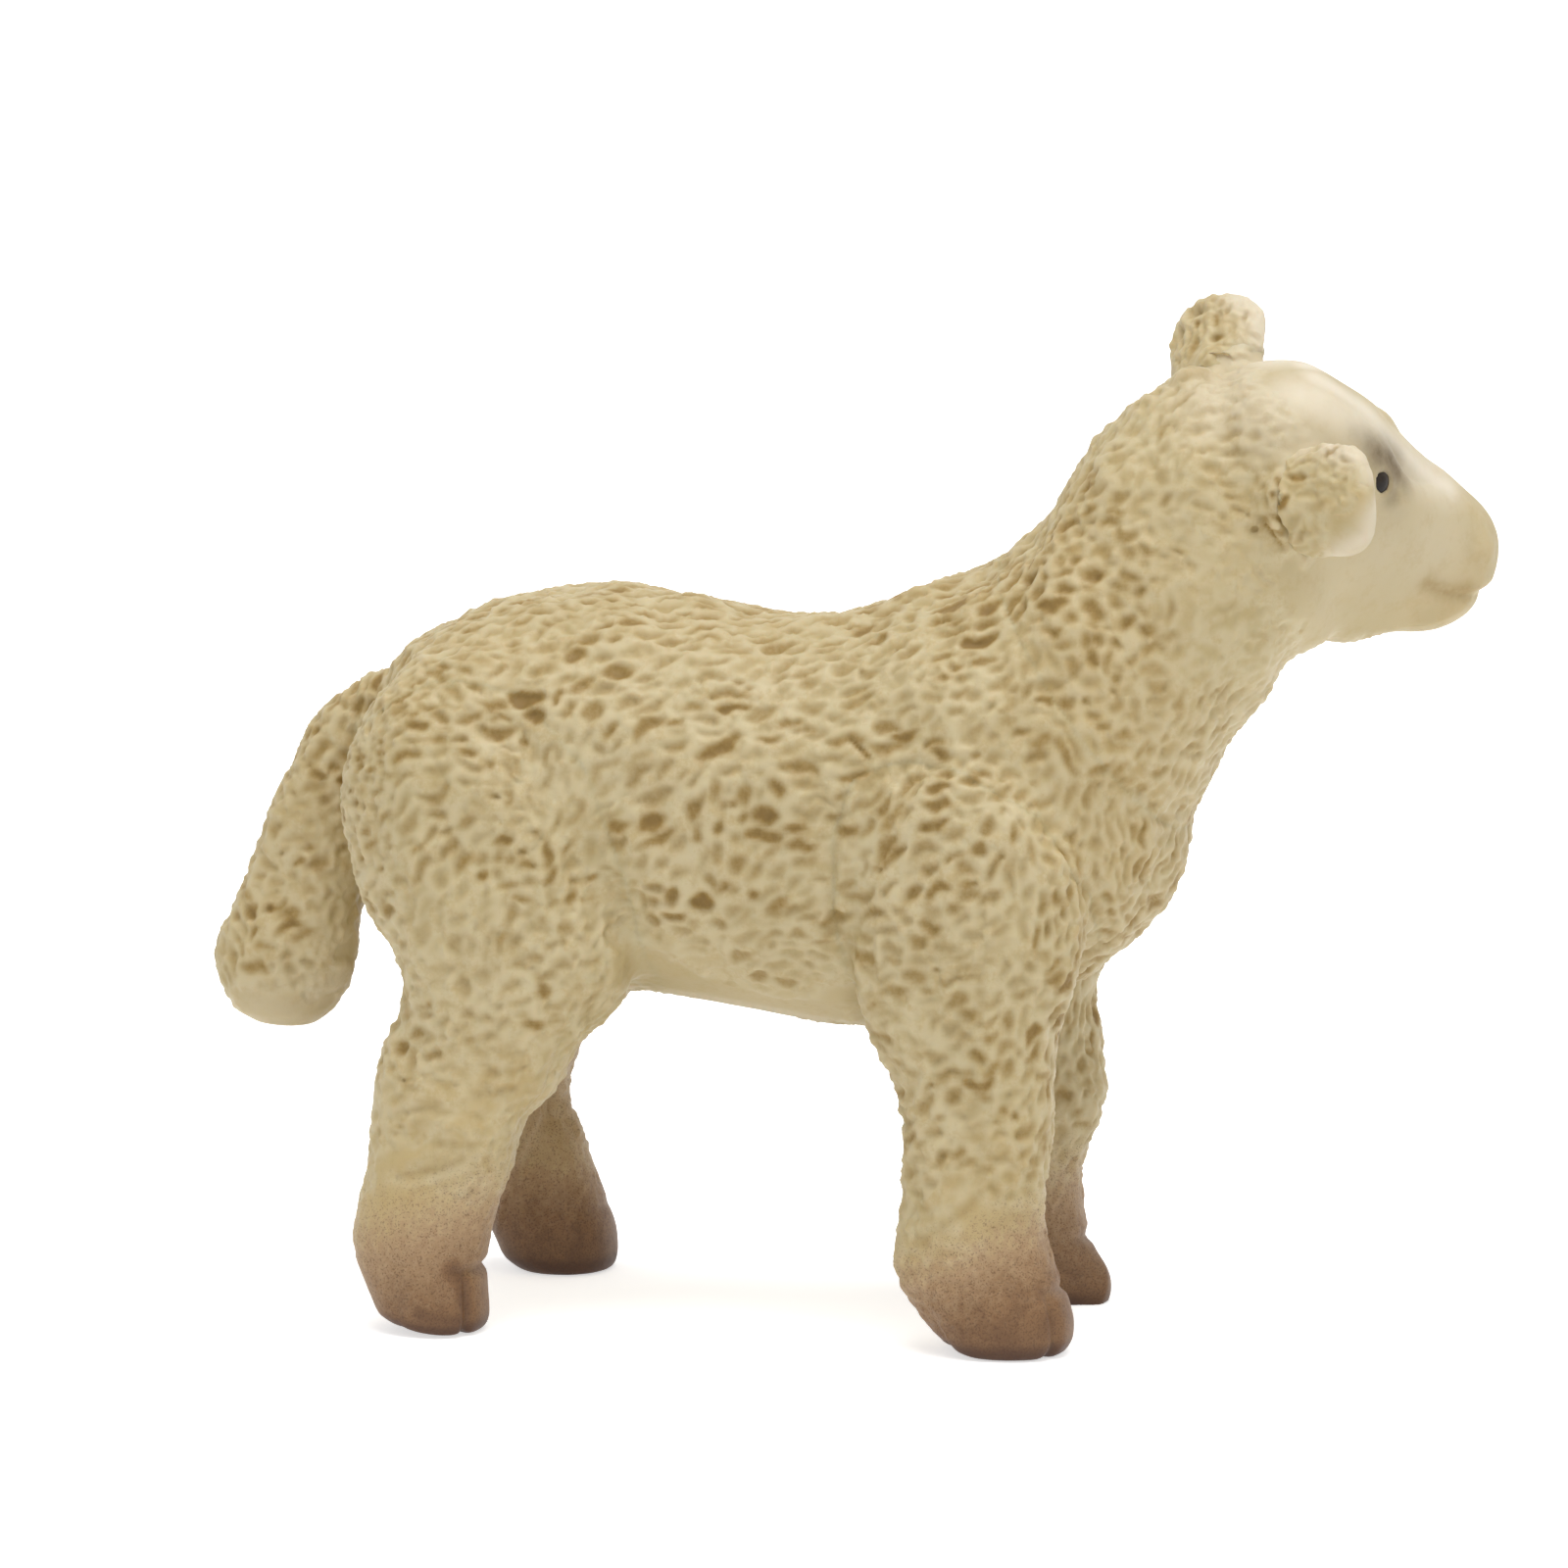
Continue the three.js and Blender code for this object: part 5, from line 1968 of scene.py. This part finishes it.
TAIL_PITS = (
    (365, 721, 80, 20, 14, .9), (354, 720, 70, 14, 12, .6), (329, 748, 45, 18, 10, 1),
    (338, 737, 60, 14, 8, .6), (375, 740, 0, 9, 9, .5), (330, 765, 35, 20, 9, .7), (344, 782, 0, 16, 14, .7),
    (302, 781, -10, 14, 6, .8), (306, 808, 0, 14, 9, .6), (294, 807, 0, 10, 9, .5), (282, 826, 0, 10, 9, .6),
    (310, 821, 0, 16, 12, .3), (317, 839, 75, 20, 8, .4), (288, 846, 45, 24, 12, .5),
    (307, 855, 20, 30, 10, .4), (317, 858, 0, 10, 6, .7), (325, 882, 25, 26, 14, .7),
    (299, 891, 0, 12, 10, .6), (312, 900, 0, 20, 6, .4), (266, 882, 0, 12, 10, .4), (268, 896, 0, 9, 9, .6),
    (252, 911, 55, 20, 9, .6), (314, 911, 20, 20, 8, .5), (335, 913, 0, 10, 9, .7),
    (294, 933, 20, 30, 12, .8), (248, 937, 70, 16, 14, .6), (233, 966, 85, 16, 8, .35),
    (260, 988, 0, 30, 14, .7), (293, 975, 30, 22, 10, .5), (274, 984, 0, 9, 9, .6), (296, 989, 0, 16, 12, .4),
    (338, 935, 60, 24, 10, .3), (376, 763, 0, 8, 8, .7), (373, 795, 0, 8, 8, .7), (368, 821, 0, 8, 8, .7),
    (363, 833, 0, 8, 8, .7), (367, 876, 0, 8, 8, .7),
)

HEAD_PITS = (
    (1221, 369, 0, 8, 6, .5), (1223, 386, -15, 26, 6, .8), (1223, 397, 20, 24, 7, .6),
    (1237, 374, 0, 9, 6, .5), (1198, 402, 35, 26, 7, .7), (1254, 387, 0, 20, 9, .4),
    (1183, 402, 60, 14, 8, .6), (1259, 409, 0, 24, 10, .4), (1278, 421, 0, 14, 9, .4),
    (1257, 443, 15, 26, 9, .7), (1282, 444, 0, 20, 12, .6), (1305, 443, 0, 14, 9, .4),
    (1200, 429, 55, 34, 6, .7), (1203, 455, 15, 22, 7, .6), (1185, 458, 0, 14, 14, .6),
    (1216, 469, 72, 34, 9, .7), (1237, 479, -15, 24, 12, .7), (1227, 494, 0, 22, 14, .5),
    (1186, 484, 80, 22, 14, .6), (1190, 511, 40, 26, 10, 1), (1205, 532, 0, 12, 10, .4),
    (1188, 540, 0, 12, 9, .5), (1190, 571, -15, 20, 9, .6), (1228, 555, 0, 14, 8, .4),
    (1290, 497, 85, 10, 8, .9), (1291, 514, -60, 14, 8, .8), (1296, 476, 0, 20, 6, .7),
    (1288, 531, -15, 18, 9, 1), (1243, 586, 3, 44, 6, .3), (1246, 622, 20, 34, 14, .25),
    (1205, 665, 0, 20, 14, .3), (1287, 647, 0, 20, 9, .2),
)

NEAR_EAR_PITS = (
    (1314, 514, 70, 18, 12, .9), (1325, 486, 5, 24, 7, .9), (1305, 545, -65, 24, 8, .9),
    (1359, 463, 30, 26, 9, .6), (1375, 472, 0, 9, 8, .5), (1370, 491, 0, 6, 4, .7),
    (1338, 486, 0, 14, 12, .5), (1289, 498, 90, 12, 8, .9), (1292, 514, -55, 16, 7, .9),
)

FAR_EAR_PITS = (
    (1220, 332, 85, 14, 9, .9), (1241, 345, 15, 14, 6, .9), (1242, 326, 80, 18, 9, .7),
    (1255, 316, 80, 12, 7, .6), (1248, 308, 0, 7, 7, .5), (1269, 324, 80, 12, 7, .6),
    (1218, 351, 80, 26, 8, .6), (1195, 359, 80, 12, 6, .7), (1203, 372, -60, 14, 6, .7),
)

BARE = (
    (680, 985), (740, 1010), (800, 1025), (850, 1000), (650, 960), (625, 985), (1440, 560), (1400, 600),
    (1350, 620), (1480, 480), (1350, 400), (1420, 440), (1300, 620), (1340, 590), (980, 1240), (1000, 1290),
    (930, 1250), (1040, 1260), (1000, 1350), (1100, 1220), (1100, 1290), (440, 1220), (430, 1260),
    (440, 1320), (560, 1150), (560, 1220), (580, 1270), (340, 960), (345, 900), (1320, 395), (1335, 440),
    (1290, 385), (1310, 465), (1270, 600), (1230, 640), (1290, 590), (1250, 605), (1300, 400), (400, 1130),
    (395, 1170), (450, 1150), (500, 1130), (540, 1090), (430, 1180), (1270, 650), (300, 1020), (260, 1015),
    (1440, 500), (1500, 560), (1000, 1240), (560, 1320), (400, 1320),
)

NEAR_EAR_BARE = ((1395, 500), (1380, 550), (1340, 565), (1385, 470), (1398, 525), (1362, 566))

FAR_EAR_BARE = ((1282, 320), (1284, 345), (1272, 305), (1278, 360))

TRIMS = (
    Trim((
        (1300, 368, -4), (1330, 371, -3), (1360, 384, -2), (1390, 403, -5), (1405, 415, -8),
        (1420, 430, -13), (1435, 447, -11), (1450, 462, -9), (1465, 474, -7), (1480, 487, 0), (1495, 500, 4),
        (1510, 514, 7), (1520, 526, 9), (1525, 538, 6), (1527, 552, 1), (1526, 576, 0), (1522, 590, 4),
        (1345, 657, 12), (1375, 654, 7), (1405, 648, 9), (1435, 641, 3), (1465, 641, 7), (1482, 635, 13),
        (1496, 624, 12), (1315, 672, -11), (1286, 720, 6), (1268, 740, 6), (1222, 820, 6), (1204, 880, -8),
        (1172, 940, -6), (405, 668, 10), (480, 622, -4), (855, 623, 5), (880, 620, 5), (905, 610, 9),
        (930, 600, 11), (955, 592, 9), (980, 585, 8), (1005, 575, 10), (1055, 542, -11), (1080, 508, -8),
        (1105, 466, -3), (730, 610, -4),
    )),
    Trim((
        (350, 704, 8), (330, 720, 7), (315, 740, 9), (306, 760, 8), (295, 780, 10), (286, 800, 11),
        (277, 820, 10), (270, 840, 9), (263, 860, 8), (256, 880, 8), (247, 900, 9), (239, 920, 10),
        (229, 940, 11), (219, 960, 9), (222, 980, -7), (224, 1000, -8), (620, 1034, -26), (395, 1060, 9),
        (386, 1080, 11), (383, 1100, 8), (383, 1120, -3), (378, 1160, 2), (372, 1200, 3), (364, 1280, -4),
        (1124, 1070, -5), (1128, 1110, -4), (1127, 1130, 15), (1117, 1150, 7), (1109, 1170, 5),
        (1104, 1190, 4), (1111, 1250, -2), (1127, 1290, -10), (1132, 1310, 0), (1130, 1328, 30),
        (1124, 1336, 20), (920, 1200, 4), (914, 1295, 4), (934, 1340, -3), (948, 1360, -4), (966, 1380, -14),
    ), mirror=False),
    Trim((
        (604, 1055, -14), (596, 1080, -18), (584, 1102, -20), (570, 1124, -20), (552, 1146, -20),
        (538, 1168, -14),
    ), reach=1.3, mirror=False, front=True),
    Trim((
        (1200, 386, 4), (1258, 368, 8), (1272, 366, 4),
    ), reach=.8, mirror=False),
    Trim((
        (1212, 387, 12), (1225, 386, 16), (1240, 383, 17), (1253, 379, 14),
    ), reach=.6, mirror=False, front=True),
    Trim((
        (374, 1300, -4), (379, 1318, -8), (386, 1340, -9), (405, 1354, -8), (243, 1020, -6), (264, 1038, -5),
        (1118, 1042, -12), (1111, 1268, -5),
    ), reach=1.9, mirror=False),
)

FAR_EAR_TRIM = Trim((
    (1203, 338, -7), (1194, 353, 3), (1217, 316, -11), (1208, 327, 2),
), reach=.3, mirror=False)


def sprays(channel: Channel, *marks: tuple, mirror: bool = True) -> tuple[Stroke, ...]:
    """Makes the strokes that only paint.

    Args:
        channel: The paint.
        *marks: For each stroke its pixels, half its width and how much paint it lays.
        mirror: Whether the other side of the lamb has them too.

    Returns:
        The strokes.
    """
    return tuple(Stroke(pixels, width, 0.0, paint, channel, mirror) for pixels, width, paint in marks)


HEAD_STROKES = (
    Stroke(((1498, 552), (1503, 572), (1508, 590)), .3, -.06, .12),
    Stroke(((1283, 528), (1296, 542), (1310, 560)), .15, -.15, .9, grain=.3),
    Stroke(((1511, 556), (1519, 564)), .4, .15, mirror=False),
    Stroke(((1071, 552), (1040, 566), (1018, 587), (995, 612), (980, 625)), .15, -.1, .5, grain=.4),
    Stroke(((1054, 581), (1035, 608)), .15, -.1, .5, grain=.4),
    *sprays(
        Channel.CHALK,
        (((1330, 400), (1380, 420), (1430, 450), (1470, 485)), 1.6, .8),
        (((1250, 400), (1290, 410), (1340, 440)), 2.0, .42),
        # Pale paint over the cheeks, partly painted light against the shade of their down-facing side.
        (((1410, 560), (1460, 560)), 3.0, .3),
        # Painted light: the white laid at full strength along the rim of the forehead, against the shade
        # where the brow turns away.
        (((1345, 384), (1395, 413), (1440, 456), (1478, 494)), .9, 1.0),
    ),
    *sprays(
        Channel.SMOKE,
        (((1388, 446), (1400, 448)), .6, .3), (((1402, 450), (1414, 453)), .65, .45),
        (((1402, 456), (1414, 459)), .8, .64), (((1408, 463), (1418, 467)), .8, .8),
        (((1421, 469), (1426, 478)), .85, .84), (((1429, 475), (1434, 487)), .75, .56),
        (((1424, 457), (1433, 464)), .85, .5), (((1440, 470), (1446, 480)), .8, .22),
        # Partly painted shadow: the grey spray carried down beside the eye, where shade lies next to the
        # bead.
        (((1420, 488), (1421, 506)), .6, .5), (((1420, 500), (1424, 520)), .8, .16),
    ),
    *sprays(
        Channel.WASH,
        (((1512, 598), (1495, 603), (1478, 603)), .22, .2), (((1460, 592), (1490, 590)), .2, .14),
        (((1456, 596), (1478, 604), (1496, 602)), .5, .48), (((1455, 606), (1482, 612)), .2, .12),
    ),
    *sprays(
        Channel.WARM,
        (((1450, 618), (1480, 615), (1500, 580)), 1.0, .5),
        (((1200, 400), (1240, 420), (1280, 440)), 1.6, .5),
        (((1100, 560), (1120, 650), (1140, 760), (1150, 860)), 3.5, .8),
        (((1240, 505), (1255, 540), (1260, 600)), 1.2, .3),
    ),
)

EAR_STROKES = (
    Stroke(((1292, 474), (1318, 461), (1343, 456), (1366, 451)), .1, -.06, .5),
    Stroke(((1280, 530), (1295, 540), (1310, 560)), .15, -.15, .9, grain=.3),
    Stroke(((1308, 540), (1322, 560), (1332, 568)), .5, -.4),
    Stroke(((1330, 500), (1345, 497), (1360, 500)), .3, .05),
    *sprays(Channel.CHALK, (((1350, 455), (1392, 470), (1403, 505), (1395, 545), (1360, 568)), .5, .7)),
    *sprays(Channel.WASH, (((1345, 468), (1366, 463), (1378, 474)), .35, .28)),
    *sprays(
        Channel.WARM,
        (((1300, 500), (1330, 520), (1340, 540)), .8, .5), (((1348, 512), (1375, 518), (1385, 508)), .5, .8),
    ),
)

FAR_EAR_STROKES = (
    Stroke(((1230, 312), (1232, 345), (1228, 372)), .2, .07, mirror=False),
    *sprays(Channel.WARM, (((1215, 370), (1225, 330), (1250, 310), (1262, 350)), 1.0, .5), mirror=False),
    *sprays(Channel.CHALK, (((1262, 300), (1285, 315), (1290, 345), (1287, 362)), .8, .8), mirror=False),
    *sprays(
        Channel.WASH,
        (((1246, 318), (1245, 340)), .25, .3), (((1218, 340), (1216, 370)), .3, .3),
        mirror=False,
    ),
)

TORSO_STROKES = (
    Stroke(((1201, 907), (1150, 948), (1115, 974)), .15, -.15, .7, grain=.3),
    *sprays(Channel.WARM, (
        ((430, 700), (520, 650), (620, 625), (720, 640), (800, 640), (900, 620), (1000, 600)), 3.0, .5,
    )),
)

TAIL_STROKES = (
    # Pale paint under the tail's tip, partly painted light against the shade of its down-facing side.
    *sprays(Channel.CHALK, (((262, 1025), (300, 1034), (340, 1000)), 1.0, .25), mirror=False),
    *sprays(Channel.WARM, (((350, 720), (310, 800), (290, 880), (270, 960)), 2.2, .4), mirror=False),
)

FRONT_LEG_STROKES = (
    Stroke(((940, 1238), (965, 1222), (985, 1195), (1000, 1180)), .2, .1),
    Stroke(((950, 1260), (985, 1235), (1010, 1205)), .25, -.06, .34),
    Stroke(((1010, 1225), (1035, 1205), (1050, 1180), (1052, 1155)), .22, .1),
    Stroke(((1000, 1180), (1030, 1185), (1050, 1200)), .2, -.06, .36),
    Stroke(((925, 1300), (950, 1315), (975, 1300)), .25, .07),
    Stroke(((990, 1170), (1010, 1160), (1030, 1165)), .2, .08),
    Stroke(((863, 750), (890, 776)), .15, -.2, .9),
    Stroke(((888, 776), (920, 768), (960, 763), (987, 765)), .3, .1),
    Stroke(((868, 790), (858, 828), (852, 872), (849, 926), (854, 950), (865, 954), (867, 980), (876, 1024),
            (884, 1045)), .3, -.12, .3),
    Stroke(((878, 790), (868, 828), (862, 872), (859, 926), (864, 950), (875, 954), (877, 980), (886, 1024)),
           .35, .12),
    Stroke(((1072, 1015), (1069, 1060), (1071, 1110), (1073, 1150), (1065, 1190), (1061, 1240), (1072, 1280),
            (1084, 1310)), .12, .1, .3, Channel.CHALK),
    *sprays(Channel.WASH, (((935, 1262), (945, 1270)), .3, .4), (((1010, 1255), (1040, 1240)), .25, .28)),
    *sprays(Channel.WARM, (((955, 1290), (1000, 1215), (1035, 1170)), 1.6, .6)),
)

HIND_LEG_STROKES = (
    Stroke(((392, 1128), (420, 1118), (460, 1122)), .2, .09),
    Stroke(((400, 1150), (430, 1140), (480, 1150)), .2, .09, mirror=False),
    Stroke(((396, 1140), (430, 1131), (470, 1136)), .2, -.07, .36),
    Stroke(((390, 1190), (430, 1180), (470, 1160)), .25, .08),
    Stroke(((400, 1200), (440, 1195), (480, 1180)), .22, -.06, .38),
    Stroke(((440, 1165), (490, 1168)), .22, -.07, .34),
    Stroke(((470, 1110), (520, 1100), (560, 1085)), .22, .09),
    Stroke(((480, 1120), (530, 1110)), .25, -.06, .4),
    Stroke(((640, 1030), (620, 1060), (585, 1100), (550, 1150), (522, 1195), (512, 1230), (505, 1270)),
           .12, .12, .3, Channel.CHALK),
    *sprays(
        Channel.DUST,
        (((464, 1298), (474, 1310), (478, 1340)), .8, 1.2),
        (((430, 1345), (450, 1350), (478, 1348)), .7, 1.2),
    ),
    *sprays(Channel.WASH, (((420, 1215), (460, 1208)), .2, .3)),
    *sprays(Channel.WARM, (((395, 1230), (430, 1180), (520, 1110)), 1.8, .7)),
)


def paler(pits: Marks, share: float) -> Marks:
    """Gives the pits with only a share of their stain."""
    return tuple((*pit[:5], pit[5] * share) for pit in pits)


def castings() -> list[Casting]:
    """Lists the castings that share one skin, each with its strokes.

    Returns:
        The castings in the order in which they are carved.
    """
    return [
        Casting("torso", Slot.FLEECE, TORSO_STROKES),
        Casting("tail", Slot.FLEECE, TAIL_STROKES),
        Head("head", Slot.HEAD, HEAD_STROKES),
        Leg("leg_front_right", Slot.LEG, FRONT_LEG_STROKES, toe_turn=24.0, spray_top=8.5, spray_full=1.2,
            heel_drop=2.8),
        Leg("leg_front_left", Slot.LEG, spray_top=8.5, heel_drop=1.5, toe_turn=16.0, spray_level=0.9),
        Leg("leg_hind_right", Slot.LEG, HIND_LEG_STROKES, spray_top=9.0, heel_drop=1.8, spray_full=-0.5,
            toe_turn=32.0),
        # The far hind leg gets denser brown spray and some over all of it: brown paint, and painted shade on
        # its inner side between the legs.
        Leg("leg_hind_left", Slot.LEG, spray_top=7.2, spray_full=-0.5, heel_drop=0.0, spray_level=1.25,
            notch=0.02, line_depth=0.05, blush_and_shade=0.35),
    ]


def ears() -> list[Ear]:
    """Lists the two ears."""
    return [
        Ear("ear_right", Slot.EAR, EAR_STROKES, NEAR_EAR_PITS, NEAR_EAR_BARE, root=(1300, 515),
            root_sink=-0.15, root_reach=1.2, tip_grown=0.12),
        Ear("ear_left", Slot.EAR, FAR_EAR_STROKES, FAR_EAR_PITS, FAR_EAR_BARE, root=(1238, 372),
            trim=FAR_EAR_TRIM, tip_grown=0.0, root_sink=-0.4, root_reach=1.1),
    ]


SEAMS = (
    Seam("torso", "tail", .08, .3, .4),
    Seam("torso", "leg_front_right", .08, .2, .3),
    Seam("torso", "leg_front_left", .08, .2, .3),
    Seam("torso", "leg_hind_right", .02, .2, .1),
    Seam("torso", "leg_hind_left", .02, .2, .1),
    Seam("torso", "head", .03, .2, .2),
)


def main() -> None:
    """Builds the studio, sculpts and paints the skin, parts it and sets the eyes."""
    logging.basicConfig(level=logging.INFO, format="%(message)s", stream=sys.stdout)
    view = PhotoView()
    view.place_camera()
    Studio().build()
    pieces = castings()
    plug_shares = {**dict.fromkeys(EYES, 1.0), **EAR_PLUG_SHARES}
    skin = SkinMaker().make([piece.node for piece in pieces], plug_shares)
    log.info("skin: %d faces", len(skin.faces))
    face = Face()
    caster = Caster(skin, view, face)
    soft = paler(NECK_PITS + LEG_PITS, PALE_SHARE) + paler(HEAD_PITS, HEAD_PALE_SHARE)
    fleece = Fleece(BODY_PITS + TAIL_PITS + soft, BARE)
    log.info("fleece: %d pits", fleece.carve(caster))
    for piece in pieces:
        piece.carve(caster)
    for seam in SEAMS:
        seam.carve(skin)
    for trim in TRIMS:
        trim.apply(caster)
    skin.press()
    parting = Parting(skin)
    for piece in pieces:
        piece.build(parting)
    for ear in ears():
        ear.make(view, face)
    lacquer = GlossLacquer("eye_lacquer")
    for node in EYES:
        EyeBead(node, lacquer).build(face)


if __name__ == "__main__":
    main()
